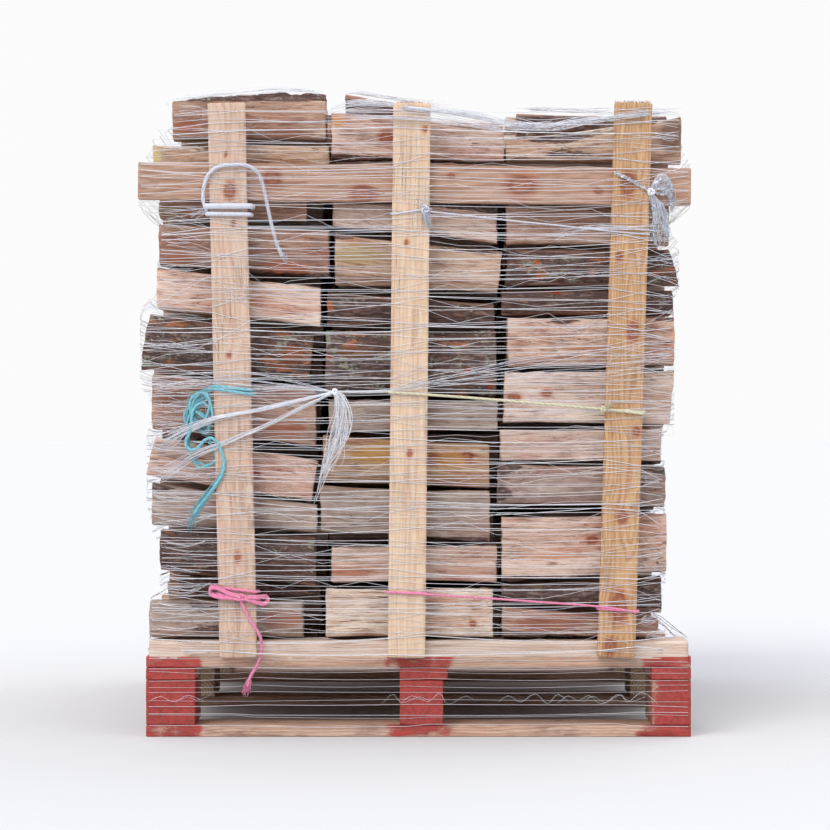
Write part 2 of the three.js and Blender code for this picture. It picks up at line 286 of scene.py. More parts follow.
def carried_frame(path, closed):
    """Two crosswise directions at each point of a path, turned no more than they must be."""
    if closed:
        tangent = np.roll(path, -1, 0) - np.roll(path, 1, 0)
    else:
        tangent = np.gradient(path, axis=0)
    tangent /= np.maximum(np.linalg.norm(tangent, axis=1, keepdims=True), 1e-12)
    start = np.eye(3)[np.argmin(np.abs(tangent[0]))]
    across = np.cross(tangent[0], start)
    sides = np.zeros_like(path)
    for i, along in enumerate(tangent):
        across = across - along * np.dot(across, along)
        across /= np.linalg.norm(across)
        sides[i] = across
    return sides, np.cross(tangent, sides)


def add_tube(batch, path, radius, sides, closed=False, lobes=0, twist=0.0):
    """A round tube along a path. lobes and twist (radians a metre) give the strands of laid twine."""
    u, v = carried_frame(path, closed)
    radius = np.broadcast_to(np.asarray(radius, float), (len(path),))[:, None]
    angle = np.broadcast_to(np.linspace(0, 2 * math.pi, sides, endpoint=False), (len(path), sides))
    along = np.concatenate([[0], np.cumsum(np.linalg.norm(np.diff(path, axis=0), axis=1))])[:, None]
    reach = radius
    lay = angle * max(lobes, 1) / 2 - along * twist
    if lobes:
        reach = radius * (0.86 + 0.14 * np.abs(np.cos(lay)))
    rings = path[:, None] + reach[..., None] * (u[:, None] * np.cos(angle)[..., None]
                                                + v[:, None] * np.sin(angle)[..., None])
    j = np.arange(sides)
    k = (j + 1) % sides
    spots = rings.reshape(-1, 3)
    last = (len(path) - 1) * sides
    if closed:
        faces = np.vstack([bar_faces(len(path), sides), np.stack([last + j, last + k, k, j], -1)])
        tris = np.zeros((0, 3), int)
        ends = 0
    else:
        faces = bar_faces(len(path), sides)
        spots = np.vstack([spots, path[:1], path[-1:]])
        first_cap = np.stack([np.full(sides, len(spots) - 2), k, j], -1)
        last_cap = np.stack([np.full(sides, len(spots) - 1), last + j, last + k], -1)
        tris = np.vstack([first_cap, last_cap])
        ends = 2
    strand = np.abs(np.cos(lay)).ravel() if lobes else np.ones(len(path) * sides)
    strand = np.concatenate([strand, np.ones(ends)])
    run = np.concatenate([np.broadcast_to(along, (len(path), sides)).ravel(), np.zeros(ends)])
    batch.add(spots, faces[:, ::-1], tris[:, ::-1], strand=strand, run=run)


def strands(batch, points, count, spread, random, radius, flat=0.35, narrow=1.0, wavy=1.0,
            loose=(0.0, 0.0)):
    """Loose threads along a line. spread is how far they stray from it along its run, flat how much less
    they stray in depth and narrow sideways, wavy how much they bend, and loose how much of its start and
    end a thread may miss."""
    path = smooth_path(points, 11 * MM)
    share = np.linspace(0, 1, len(path))
    reach = np.interp(share, np.linspace(0, 1, len(spread)), spread) * MM
    for _ in range(count):
        stray = np.zeros((len(path), 3))
        for axis in range(3):
            turns, start = random.uniform(0.4, 2.6), random.uniform(0, 2 * math.pi)
            size = random.uniform(0.2, 0.6)
            first, last = random.normal(0, 0.55, 2)
            straight = first + (last - first) * share * (1 - wavy)
            stray[:, axis] = straight + wavy * size * np.sin(turns * share * 2 * math.pi + start)
        stray *= (narrow, flat, 1)
        line = path + reach[:, None] * stray
        first = int(random.uniform(0, loose[0]) * len(line))
        last = len(line) - int(random.uniform(0, loose[1]) * len(line))
        if last - first >= 3:
            add_tube(batch, line[first:last], radius * random.uniform(0.7, 1.25), 3)


def lump_path(centre, size, turns=(2, 3)):
    """A closed tangle like a tied knot, size across in X, Y and Z."""
    angle = np.linspace(0, 2 * math.pi, 90, endpoint=False)
    first, second = turns
    ring = 1 + 0.45 * np.cos(second * angle)
    turned = first * angle
    knot = np.stack([ring * np.cos(turned), np.sin(second * angle) * 0.8, ring * np.sin(turned)], -1)
    return centre + knot / 2.9 * np.array(size) * MM


# ---------------------------------------------------------------- shader helpers

class Signal:
    """A node's output. Sums written with it make the math nodes that work them out."""

    def __init__(self, tree, socket):
        self.tree, self.socket = tree, socket

    def __add__(self, other):
        return self.tree.math("ADD", self, other)

    def __sub__(self, other):
        return self.tree.math("SUBTRACT", self, other)

    def __rsub__(self, other):
        return self.tree.math("SUBTRACT", other, self)

    def __mul__(self, other):
        return self.tree.math("MULTIPLY", self, other)

    def __truediv__(self, other):
        return self.tree.math("DIVIDE", self, other)

    def __abs__(self):
        return self.tree.math("ABSOLUTE", self)


class Tree:
    """Short calls for making and joining a node tree's nodes."""

    def __init__(self, tree):
        self.tree = tree

    def node(self, kind, **settings):
        made = self.tree.nodes.new(kind)
        for name, value in settings.items():
            setattr(made, name, value)
        return made

    def feed(self, value, socket):
        if isinstance(value, Signal):
            self.tree.links.new(value.socket, socket)
        else:
            socket.default_value = value

    def output(self, node, key=0, **inputs):
        """A node's output, once the inputs named by label or, as in_0, by number are fed."""
        for label, value in inputs.items():
            self.feed(value, node.inputs[int(label[3:]) if label.startswith("in_") else label])
        return Signal(self, node.outputs[key])

    def outputs(self, node):
        return {socket.name: Signal(self, socket) for socket in node.outputs}

    def math(self, operation, *values, clamp=False):
        made = self.node("ShaderNodeMath", operation=operation, use_clamp=clamp)
        return self.output(made, **{f"in_{i}": value for i, value in enumerate(values)})

    def stretch(self, vector, by, plus=(0, 0, 0)):
        made = self.node("ShaderNodeVectorMath", operation="MULTIPLY_ADD")
        return self.output(made, in_0=vector, in_1=by, in_2=plus)

    def shift(self, vector, other):
        return self.output(self.node("ShaderNodeVectorMath", operation="ADD"), in_0=vector, in_1=other)

    def scaled(self, vector, by):
        return self.output(self.node("ShaderNodeVectorMath", operation="SCALE"), in_0=vector, Scale=by)

    def parts(self, vector):
        """A position's X, Y and Z."""
        made = self.node("ShaderNodeSeparateXYZ")
        self.feed(vector, made.inputs[0])
        return [Signal(self, socket) for socket in made.outputs]

    def off_axis(self, vector):
        """How far a position is from its X axis."""
        _, across, up = self.parts(vector)
        return self.math("SQRT", self.math("POWER", across, 2.0) + self.math("POWER", up, 2.0))

    def noise(self, vector, per_metre, detail=3.0, rough=0.55, plus=(0, 0, 0), output=0):
        """Noise with so many features a metre along X and across it, or along X, Y and Z."""
        along, across, up = per_metre[0], per_metre[1], per_metre[-1]
        return self.output(self.node("ShaderNodeTexNoise"), output, Scale=1.0, Detail=detail, Roughness=rough,
                           Vector=self.stretch(vector, (along, across, up), plus))

    def ramp(self, value, low, high, floor=0.0, top=1.0):
        """Smooth step from floor to top as value goes from low to high."""
        made = self.node("ShaderNodeMapRange", interpolation_type="SMOOTHSTEP")
        return self.output(made, in_0=value, in_1=low, in_2=high, in_3=floor, in_4=top)

    def mix(self, share, first, second, blend="MIX"):
        made = self.node("ShaderNodeMix", data_type="RGBA", blend_type=blend)
        return self.output(made, 2, in_0=share, in_6=first, in_7=second)

    def deepen(self, colour, share, by):
        """Multiplies a colour by a tone, as far as share goes."""
        return self.mix(share, colour, self.mix(1.0, colour, tone(*by), "MULTIPLY"))

    def tinge(self, colour, share, towards, reach=0.6):
        """Draws a colour part of the way towards a tone, as far as share goes."""
        return self.mix(share, colour, self.mix(reach, colour, tone(*towards)))

    def attribute(self, name, output="Fac"):
        return self.output(self.node("ShaderNodeAttribute", attribute_name=name), output)

    def place_in(self, kind="Object"):
        return self.output(self.node("ShaderNodeTexCoord"), kind)

    def group(self, group, **values):
        made = self.node("ShaderNodeGroup", node_tree=group)
        for name, value in values.items():
            self.feed(value, made.inputs[name.replace("_", " ")])
        return self.outputs(made)


def tone(red, green, blue):
    """A colour given as 0 to 255 screen values, for a shader's socket."""
    channel = [value / 255 for value in (red, green, blue)]
    return (*[c / 12.92 if c < 0.04045 else ((c + 0.055) / 1.055) ** 2.4 for c in channel], 1.0)


def new_group(name, inputs, outputs):
    """An empty shader node group with named sockets. Gives it with its helper, inputs and outputs."""
    group = bpy.data.node_groups.new(name, "ShaderNodeTree")
    for label, (kind, value) in inputs.items():
        socket = group.interface.new_socket(label, in_out="INPUT", socket_type="NodeSocket" + kind)
        if value is not None:
            socket.default_value = value
    for label, kind in outputs.items():
        group.interface.new_socket(label, in_out="OUTPUT", socket_type="NodeSocket" + kind)
    t = Tree(group)
    return group, t, t.outputs(t.node("NodeGroupInput")), t.node("NodeGroupOutput").inputs


def new_material(name, roughness, **sockets):
    """A material with a Principled shader, the helper for its tree and the shader's inputs."""
    material = bpy.data.materials.new(name)
    material.use_nodes = True
    shader = material.node_tree.nodes["Principled BSDF"]
    shader.inputs["Roughness"].default_value = roughness
    for label, value in sockets.items():
        shader.inputs[label.replace("_", " ")].default_value = value
    return material, Tree(material.node_tree), shader.inputs


def bumped(t, height, shader, distance):
    bump = t.node("ShaderNodeBump")
    t.feed(t.output(bump, Strength=1.0, Distance=distance, Height=height), shader["Normal"])


# ---------------------------------------------------------------- shared effects

def make_grain_group():
    """Growth rings round the pith and fibres along X, from a position measured from the pith."""
    group, t, given, made = new_group(
        "wood grain",
        {"Position": ("Vector", None), "Ring Width": ("Float", 0.0035), "Wander": ("Float", 1.0)},
        {"Rings": "Float", "Fibres": "Float", "Streaks": "Float", "Cracks": "Float"},
    )
    where = given["Position"]
    centred = t.shift(t.noise(where, (3, 14), 2.0, output=1), (-0.5, -0.5, -0.5))
    bent = t.shift(where, t.scaled(centred, given["Wander"] * 0.035))
    part = t.math("FRACT", t.off_axis(bent) / given["Ring Width"])
    t.feed(t.ramp(part, 0.35, 0.88) * t.ramp(part, 1.0, 0.93), made["Rings"])
    t.feed(t.noise(bent, (18, 900), 3.0, 0.6), made["Fibres"])
    t.feed(t.noise(bent, (4, 120), 3.0, 0.6, (3.1, 0, 0)), made["Streaks"])
    split = t.noise(bent, (1.6, 150), 1.0, 0.5, (7.7, 0.3, 0))
    gate = t.noise(where, (7, 16), 1.0, plus=(1.7, 0, 4.0))
    t.feed(t.ramp(abs(split - 0.5), 0.013, 0.0) * t.ramp(gate, 0.48, 0.62, 0.0, 0.85), made["Cracks"])
    return group


def make_bark_group():
    """Scaly bark in plates along the log, with lichen, moss and bare inner bark in patches."""
    group, t, given, made = new_group(
        "bark skin",
        {"Position": ("Vector", None), "Lichen": ("Float", 0.4), "Moss": ("Float", 0.2),
         "Bare": ("Float", 0.2)},
        {"Color": "Color", "Height": "Float"},
    )
    where = given["Position"]
    bent = t.shift(where, t.stretch(t.noise(where, (20, 45), output=1), (0.016, 0.016, 0.016)))
    plates = t.output(t.node("ShaderNodeTexVoronoi", feature="DISTANCE_TO_EDGE"), "Distance", Scale=1.0,
                      Vector=t.stretch(bent, (20, 110, 110)))
    seams = t.ramp(plates, 0.0, 0.3)
    rough = t.noise(where, (90, 300), 5.0, 0.7)
    broad = t.noise(where, (8, 26), 4.0, 0.65)
    colour = t.mix(t.ramp(rough, 0.32, 0.68), tone(94, 74, 70), tone(156, 136, 128))
    colour = t.tinge(colour, t.ramp(broad, 0.35, 0.65), (128, 88, 72), 0.55)
    colour = t.mix((1.0 - seams) * 0.6, colour, tone(62, 48, 50))

    speck = t.noise(where, (150, 150), 3.0, 0.7)
    lichen = t.noise(where, (24, 42), 5.0, 0.7, (5.0, 1.0, 0)) * 0.7 + speck * 0.3
    edge = 0.72 - given["Lichen"] * 0.3
    colour = t.mix(t.ramp(lichen, edge, edge + 0.06), colour, tone(156, 154, 136))
    moss = t.noise(where, (17, 30), 4.0, 0.7, (2.0, 6.0, 0))
    edge = 0.78 - given["Moss"] * 0.38
    colour = t.mix(t.ramp(moss, edge, edge + 0.1), colour, tone(128, 122, 70))
    bare = t.noise(where, (14, 38), 3.0, 0.6, (9.0, 0, 3.0))
    edge = 0.76 - given["Bare"] * 0.3
    worn = t.ramp(bare, edge, edge + 0.05)
    colour = t.mix(worn, colour, t.mix(t.ramp(rough, 0.35, 0.65), tone(144, 92, 70), tone(178, 124, 94)))
    t.feed(colour, made["Color"])
    t.feed((seams * 0.7 + rough * 0.5) * t.ramp(worn, 0.0, 1.0, 1.0, 0.45), made["Height"])
    return group


def make_knot_group():
    """A knot's dark eye, ring and swirl, from a value that is 1 at its middle and 0 at its rim."""
    group, t, given, made = new_group(
        "knot",
        {"Color": ("Color", None), "Knot": ("Float", 0.0), "Position": ("Vector", None)},
        {"Color": "Color"},
    )
    value = given["Knot"] + (t.noise(given["Position"], (260, 260)) - 0.5) * 0.35
    halo = t.deepen(given["Color"], t.ramp(value, -0.95, 0.1, 0.0, 0.85), (214, 150, 118))
    rings = t.math("SINE", value * 17.0)
    eye = t.mix(t.ramp(rings, -0.8, 0.9), tone(146, 88, 66), tone(176, 112, 84))
    colour = t.mix(t.ramp(value, 0.0, 0.3, 0.0, 0.85), halo, eye)
    rim = t.ramp(value, -0.1, 0.06) * t.ramp(value, 0.28, 0.08)
    t.feed(t.mix(rim * 0.5, colour, tone(96, 58, 46)), made["Color"])
    return group


def make_weather_group():
    """Grey weathering and grime that breaks up over the surface."""
    group, t, given, made = new_group(
        "weathering",
        {"Color": ("Color", None), "Position": ("Vector", None), "Age": ("Float", 0.3),
         "Dirt": ("Float", 0.3)},
        {"Color": "Color"},
    )
    where = given["Position"]
    fine = t.noise(where, (30, 300), 4.0, 0.65)
    broad = t.noise(where, (6, 18), 4.0, 0.6)
    patchy = t.ramp(broad, 0.25, 0.75, 0.35, 1.0) + t.ramp(fine, 0.35, 0.7, -0.2, 0.35)
    grey = t.mix(t.ramp(fine, 0.35, 0.65), tone(128, 116, 110), tone(190, 180, 170))
    colour = t.mix(t.math("MULTIPLY", given["Age"], patchy, clamp=True), given["Color"], grey)
    grime = t.ramp(t.noise(where, (12, 40), 5.0, 0.7, (4.0, 2.0, 0)), 0.48, 0.72)
    dirt = t.math("MULTIPLY", given["Dirt"], grime, clamp=True)
    t.feed(t.mix(dirt, colour, tone(92, 72, 66)), made["Color"])
    return group


GRAIN = make_grain_group()
BARK = make_bark_group()
KNOT = make_knot_group()
WEATHER = make_weather_group()


# ---------------------------------------------------------------- materials

def split_face(t, where, tint, grain):
    """The colour of riven wood, and the splinters that stand out of it, darker in the grooves between them,
    partly painted shade.
    """
    wood = t.deepen(tint, grain["Rings"] * 0.3, (204, 160, 128))
    heart = t.noise(where, (5, 26), 3.0, 0.6, (6.0, 0.4, 2.0))
    wood = t.deepen(wood, t.ramp(heart, 0.5, 0.68, 0.0, 0.6), (216, 158, 126))
    wood = t.tinge(wood, t.ramp(heart, 0.46, 0.3, 0.0, 0.5), (252, 236, 214))
    splinters = t.noise(where, (16, 230), 5.0, 0.72, (0.7, 3.0, 1.0))
    # darker where the splinters' relief dips: partly the wood's own tone, partly painted shade in the grooves
    wood = t.deepen(wood, t.ramp(splinters, 0.53, 0.66, 0.0, 0.8), (158, 112, 92))
    wood = t.tinge(wood, t.ramp(splinters, 0.46, 0.34, 0.0, 0.7), (255, 243, 226))
    wood = t.deepen(wood, t.ramp(grain["Fibres"], 0.5, 0.72, 0.0, 0.5), (170, 128, 108))
    wood = t.tinge(wood, t.ramp(grain["Fibres"], 0.42, 0.28, 0.0, 0.5), (255, 244, 226))
    return wood, heart, splinters


def sawn_face(t, where, tint, grain, heart, checks):
    """The colour of a sawn end: rings, a darker heart, saw marks and checks that run out from the pith."""
    end = t.mix(grain["Rings"] * 0.8, t.mix(0.3, tint, tone(224, 200, 168)), tone(158, 118, 88))
    end = t.deepen(end, t.ramp(t.off_axis(where) + heart * 0.03, 0.065, 0.045, 0.0, 0.6), (218, 166, 132))
    saw_marks = t.noise(where, (40, 60, 900), 2.0)
    end = t.mix(t.ramp(saw_marks, 0.4, 0.7, 0.0, 0.35), end, tone(126, 104, 90))
    return t.mix(checks, end, tone(48, 36, 32))


def log_material(name, lichen, moss, bare):
    """Split wood, sawn end grain and bark in one finish. Vertex values say which is where."""
    material, t, shader = new_material(name, 0.88, Specular_IOR_Level=0.25)
    where, sawn = t.attribute("grain", "Vector"), t.attribute("sawn")
    tint, stain = t.attribute("tint", "Color"), t.attribute("stain", "Color")
    grain = t.group(GRAIN, Position=where, Ring_Width=0.0042, Wander=1.0)
    wood, heart, splinters = split_face(t, where, tint, grain)

    along, across, up = t.parts(where)
    angle = t.math("ARCTAN2", up, across)
    spoke = t.output(t.node("ShaderNodeCombineXYZ"), in_0=angle * 2.6, in_1=along * 3.0)
    checks = t.ramp(abs(t.noise(spoke, (1, 1), 2.0) - 0.5), 0.011, 0.002) * (sawn * 0.8)
    colour = t.mix(sawn, wood, sawn_face(t, where, tint, grain, heart, checks))
    colour = t.mix(grain["Cracks"] * (1.0 - sawn), colour, tone(74, 52, 46))
    colour = t.group(WEATHER, Color=colour, Position=where, Age=t.attribute("age"), Dirt=0.45)["Color"]
    colour = t.group(KNOT, Color=colour, Knot=t.attribute("knot"), Position=where)["Color"]

    ragged = t.noise(where, (60, 240), 4.0, 0.7) - 0.5
    cover = t.ramp(t.attribute("bark") + ragged * 0.7, 0.42, 0.58)
    skin = t.group(BARK, Position=where, Lichen=lichen, Moss=moss, Bare=bare)
    colour = t.mix(cover, colour, skin["Color"])
    # stains, and one near-white band that is a painted highlight on a log's top edge
    stained = t.ramp(t.attribute("stained") + ragged * 0.9, 0.3, 0.75, 0.0, 0.75)
    colour = t.mix(stained, colour, t.mix(0.35, stain, t.mix(1.0, stain, colour, "MULTIPLY")))
    t.feed(colour, shader["Base Color"])

    relief = grain["Fibres"] * 0.4 - splinters * 1.1 - grain["Cracks"] * 0.8 - checks * 0.9
    blend = t.node("ShaderNodeMix", data_type="FLOAT")
    height = t.output(blend, in_0=cover, in_2=relief, in_3=skin["Height"] * 1.6)
    bumped(t, height, shader, 0.0022)
    return material


def timber_material(name, pale, dark, ring_width, wander, age, dirt, contrast=0.6, paint=None):
    """Sawn timber with straight or arched grain, knots where its vertices say, and optional paint."""
    material, t, shader = new_material(name, 0.75, Specular_IOR_Level=0.3)
    where, sawn = t.attribute("grain", "Vector"), t.attribute("sawn")
    grain = t.group(GRAIN, Position=where, Ring_Width=ring_width, Wander=wander)
    rings, fibres, cracks = grain["Rings"], grain["Fibres"], grain["Cracks"]
    colour = t.mix(rings * contrast, tone(*pale), tone(*dark))
    colour = t.deepen(colour, t.ramp(grain["Streaks"], 0.45, 0.7, 0.0, 0.4), (206, 160, 124))
    colour = t.deepen(colour, t.ramp(fibres, 0.5, 0.72, 0.0, 0.4), (196, 164, 138))
    colour = t.tinge(colour, t.ramp(fibres, 0.42, 0.3, 0.0, 0.4), (255, 246, 230), 0.5)
    colour = t.mix(cracks * 0.6, colour, tone(110, 80, 62))
    colour = t.mix(sawn, colour, t.mix(rings * 0.7, tone(206, 176, 144), tone(140, 102, 76)))
    colour = t.group(KNOT, Color=colour, Knot=t.attribute("knot"), Position=where)["Color"]
    colour = t.group(WEATHER, Color=colour, Position=where, Age=age, Dirt=dirt)["Color"]
    height = fibres * 0.6 + rings * 0.25 - cracks * 0.8
    if paint:
        wear = t.noise(where, (28, 110), 5.0, 0.7)
        mist = t.noise(where, (700, 700), 2.0, 0.6)
        ragged = (wear - 0.5) * 1.0 + (mist - 0.5) * 0.5
        cover = t.ramp(t.attribute("paint") + ragged, 0.35, 0.68, 0.0, 0.95)
        shade = t.mix(t.ramp(wear, 0.35, 0.65), tone(*[0.8 * value for value in paint]), tone(*paint))
        shade = t.mix(t.ramp(fibres, 0.5, 0.7, 0.0, 0.4), shade, tone(*[0.62 * value for value in paint]))
        shade = t.mix(t.ramp(mist, 0.6, 0.75, 0.0, 0.35), shade, tone(214, 150, 138))
        colour = t.mix(cover, colour, shade)
        height = height * t.ramp(cover, 0.0, 1.0, 1.0, 0.55)
    t.feed(colour, shader["Base Color"])
    bumped(t, height, shader, 0.0012)
    return material


def twine_material(name, base, light, depth):
    """Laid plastic twine: lighter on its strands' backs and darker between them, which is painted shade in the
    grooves of the lay, and dusty along its length.
    """
    material, t, shader = new_material(name, 0.55, Sheen_Weight=0.25)
    fibre = t.noise(t.place_in(), (900, 900), 3.0, 0.7)
    dust = t.noise(t.place_in(), (90, 90))
    back = t.ramp(t.attribute("strand"), 0.1, 0.8)
    # painted shade: depth darkens the twine in the grooves between its strands
    colour = t.mix(back, tone(*[depth * value for value in base]), tone(*base))
    colour = t.mix(t.ramp(fibre, 0.45, 0.7, 0.0, 0.8), colour, tone(*light))
    colour = t.mix(t.ramp(dust, 0.5, 0.75, 0.0, 0.35), colour, tone(176, 160, 146))
    t.feed(colour, shader["Base Color"])
    turns = t.math("SINE", t.attribute("run") * 2600.0)
    bumped(t, fibre + turns * 0.12, shader, 0.0005)
    return material


def net_material():
    """Thin white knitted plastic, a little bluish where it bunches."""
    material, t, shader = new_material("net_thread", 0.42, Sheen_Weight=0.2)
    tape = t.noise(t.place_in(), (300, 900), 2.0)
    broad = t.noise(t.place_in(), (9, 9, 14))
    colour = t.mix(t.ramp(tape, 0.35, 0.65), tone(226, 229, 238), tone(252, 253, 255))
    colour = t.mix(t.ramp(broad, 0.5, 0.75, 0.0, 0.6), colour, tone(204, 210, 228))
    t.feed(colour, shader["Base Color"])
    bumped(t, tape, shader, 0.0004)
    return material


def film_material():
    """Torn milky plastic film."""
    material, t, shader = new_material("milky_film", 0.2, Transmission_Weight=0.7)
    crease = t.noise(t.place_in(), (160, 160, 60), 4.0, 0.7)
    t.feed(t.mix(t.ramp(crease, 0.35, 0.7), tone(206, 212, 228), tone(240, 243, 250)), shader["Base Color"])
    bumped(t, crease, shader, 0.002)
    return material


LOG_FINISH = {
    "split_log": log_material("split_firewood", 0.5, 0.25, 0.4),
    "bark_log": log_material("barked_firewood", 0.65, 0.4, 0.6),
    "weathered_log": log_material("weathered_firewood", 0.4, 0.1, 0.2),
    "mossy_log": log_material("mossy_firewood", 0.4, 0.8, 0.6),
}
PALLET_WOOD = timber_material(
    "pallet_board_wood", (222, 184, 158), (176, 128, 104), 0.005, 1.0, 0.35, 0.5, paint=(182, 66, 62))
PAINTED_WOOD = timber_material(
    "painted_block_wood", (190, 146, 118), (140, 96, 76), 0.006, 1.2, 0.25, 0.65, paint=(178, 62, 60))
BASE_WOOD = timber_material("base_board_wood", (236, 216, 200), (206, 174, 152), 0.0045, 0.7, 0.2, 0.3)
RAIL_WOOD = timber_material("rail_wood", (202, 164, 140), (172, 124, 102), 0.006, 1.5, 0.16, 0.3)
BATTEN_WOOD = {
    # The left batten is the pale batten wood drawn darker and pinker: painted shade, and partly a pinker tone
    # of its own.
    "left": timber_material(
        "left_batten_wood_painted_shade", (220, 192, 170), (202, 162, 138), 0.006, 1.6, 0.12, 0.2, 0.45),
    "middle": timber_material(
        "pale_batten_wood", (232, 206, 178), (218, 176, 132), 0.0034, 0.4, 0.08, 0.16, 0.4),
    "right": timber_material(
        "golden_batten_wood", (210, 170, 124), (176, 120, 80), 0.006, 1.9, 0.1, 0.3),
}
BATTEN_SLOT = {"left": "pale_batten", "middle": "pale_batten", "right": "golden_batten"}
NET_PLASTIC = net_material()
FILM = film_material()
# The last number of each twine is how dark its painted shade between the strands is.
TWINE_FINISH = {
    "grey_rope": twine_material("grey_rope_fibre", (206, 209, 222), (242, 244, 250), 0.8),
    "teal_twine": twine_material("teal_twine_fibre", (104, 184, 198), (182, 224, 228), 0.78),
    "yellow_twine": twine_material("yellow_twine_fibre", (212, 206, 170), (238, 234, 208), 0.8),
    "pink_twine": twine_material("pink_twine_fibre", (230, 120, 164), (250, 188, 210), 0.8),
}


# ---------------------------------------------------------------- twines

TWINE_ROUTES = {
    "grey_rope": route([
        (-386, -620, 962), (-392, -623, 977), (-393, -625, 994), (-390, -626, 1012), (-384, -627.5, 1027),
        (-372, -627.5, 1039), (-356, -627.5, 1045), (-337, -627.5, 1046.5), (-318, -627.5, 1046),
        (-303, -624, 1041), (-292.5, -618, 1031), (-286, -612, 1015), (-281, -608, 995), (-277, -605, 975),
        (-272, -603, 951), (-266, -602, 926), (-259, -601, 902), (-250, -600, 880),
    ]),
    "teal_twine": route([
        (-379, -620, 637), (-393, -617, 634), (-408, -613, 624), (-420, -610, 607), (-423, -608, 588),
        (-415, -606, 572), (-400, -606, 565), (-386, -607, 573), (-379, -610, 589), (-384, -614, 606),
        (-397, -618, 612), (-409, -619, 603), (-414, -619, 587), (-415, -618, 570), (-419, -617, 555),
        (-425, -616, 542), (-422, -617, 530), (-411, -619, 526), (-400, -621, 533), (-390, -624, 544),
        (-378, -627, 548), (-367, -627, 540), (-360, -627, 525), (-355, -627, 509), (-355, -627, 492),
        (-361, -627, 476), (-372, -626, 460), (-385, -622, 443), (-399, -617, 425), (-411, -612, 407),
    ]),
    "yellow_twine": route([
        (-56, -626, 631.5), (-20, -626, 629.5), (16, -626, 627), (60, -625.5, 624), (120, -625, 619.5),
        (180, -625, 614.5), (240, -625.5, 609.5), (300, -626, 604), (336, -626, 601), (372, -626, 597),
        (412, -626, 592),
    ]),
    "pink_twine": route([
        (-326, -626.5, 256), (-322, -628, 247), (-318, -628, 238), (-313.5, -627.5, 228), (-308, -627, 217),
        (-301, -627.5, 207), (-293, -627, 195), (-287.5, -625, 181), (-286, -621, 166), (-289, -617, 150),
        (-294, -613, 135), (-302, -611, 121), (-309, -610, 108), (-313.5, -609, 93),
    ]),
    "pink_line": route([
        (-60, -625.5, 267), (-20, -625.5, 265), (20, -625.5, 262.5), (80, -625, 258.5), (150, -624.5, 254),
        (220, -624.5, 249), (290, -625, 244), (330, -625.5, 240.5), (365, -625.5, 236), (400, -625.5, 230),
    ]),
    "thin_line": route([
        (14, -625, 962), (60, -624.5, 957), (120, -624, 950), (180, -624, 943.5), (240, -624, 937.5),
        (300, -624.5, 931), (350, -625, 925.5), (390, -625, 922), (422, -625, 919.5),
    ]),
}


# Node, finish, diameter, strands, pitch of their lay, length in metres, far end, stiffness and how it lies.
TWINES = [
    ("grey_rope", "grey_rope", 7, 3, 30, 0.332, "bare", "stiff", "hanging"),
    ("teal_twine", "teal_twine", 6, 2, 13, 0.492, "bare", "limp", "hanging"),
    ("yellow_twine", "yellow_twine", 5, 2, 12, 0.47, "object", "limp", "taut"),
    ("pink_twine", "pink_twine", 6, 2, 13, 0.18, "bare", "limp", "hanging"),
    ("pink_line", "pink_twine", 4, 2, 10, 0.462, "object", "limp", "taut"),
    ("thin_line", "grey_rope", 3, 2, 8, 0.41, "object", "limp", "taut"),
]


def lay_twist(pitch, lobes):
    """How far the strands of laid twine turn to the metre, from the pitch of one strand."""
    return math.pi / pitch * lobes / 2


def add_twines():
    """Each twine along its route, as one closed mesh."""
    for node, finish, thick, lobes, pitch, length, far_end, stiffness, lay in TWINES:
        path = smooth_path(TWINE_ROUTES[node], thick * MM * 0.4)
        batch = Batch()
        add_tube(batch, path, thick * MM / 2, sides=14, lobes=lobes, twist=lay_twist(pitch * MM, lobes))
        twine = place(batch.build(node + "_laid", TWINE_FINISH[finish]), finish, node)


add_twines()


# ---------------------------------------------------------------- sawn timber

TURNED = {  # from local X along the grain to the row frame
    "x": np.eye(3),
    "y": np.array([[0, -1, 0], [1, 0, 0], [0, 0, 1]], float),
    "z": np.array([[0, 0, -1], [0, 1, 0], [1, 0, 0]], float),
}


def ellipses_away(spots, x, z, wide, high):
    """How far each point is from a mark's middle, seen from the front, in the mark's own half sizes."""
    middle = at(x, 0, z)
    return np.hypot((spots[:, 0] - middle[0]) / (wide * MM), (spots[:, 2] - middle[2]) / (high * MM))


def knot_value(spots, knots):
    """How near each point is to a knot: 1 at its middle, 0 at its rim, down to -1 away from all of them."""
    value = np.full(len(spots), -1.0)
    for knot in knots:
        value = np.maximum(value, 1 - ellipses_away(spots, *knot))
    return value


def board_section(half, step, corner):
    """A sawn piece's section, from half its sizes: straight sides with points every step, worn corners."""
    y, z = (np.linspace(-size + corner, size - corner, max(3, int(2 * size / step) + 1)) for size in half)
    bend = [(half[0] - corner + corner * math.cos(a), half[1] - corner + corner * math.sin(a))
            for a in np.radians([22.5, 67.5])]
    outline = [(half[0], value) for value in z] + bend + [(value, half[1]) for value in y[::-1]]
    outline += [(-py, pz) for py, pz in bend[::-1]] + [(-half[0], value) for value in z[::-1]]
    outline += [(-py, -pz) for py, pz in bend] + [(value, -half[1]) for value in y]
    outline += [(py, -pz) for py, pz in bend[::-1]]
    return anticlockwise(np.array(outline))


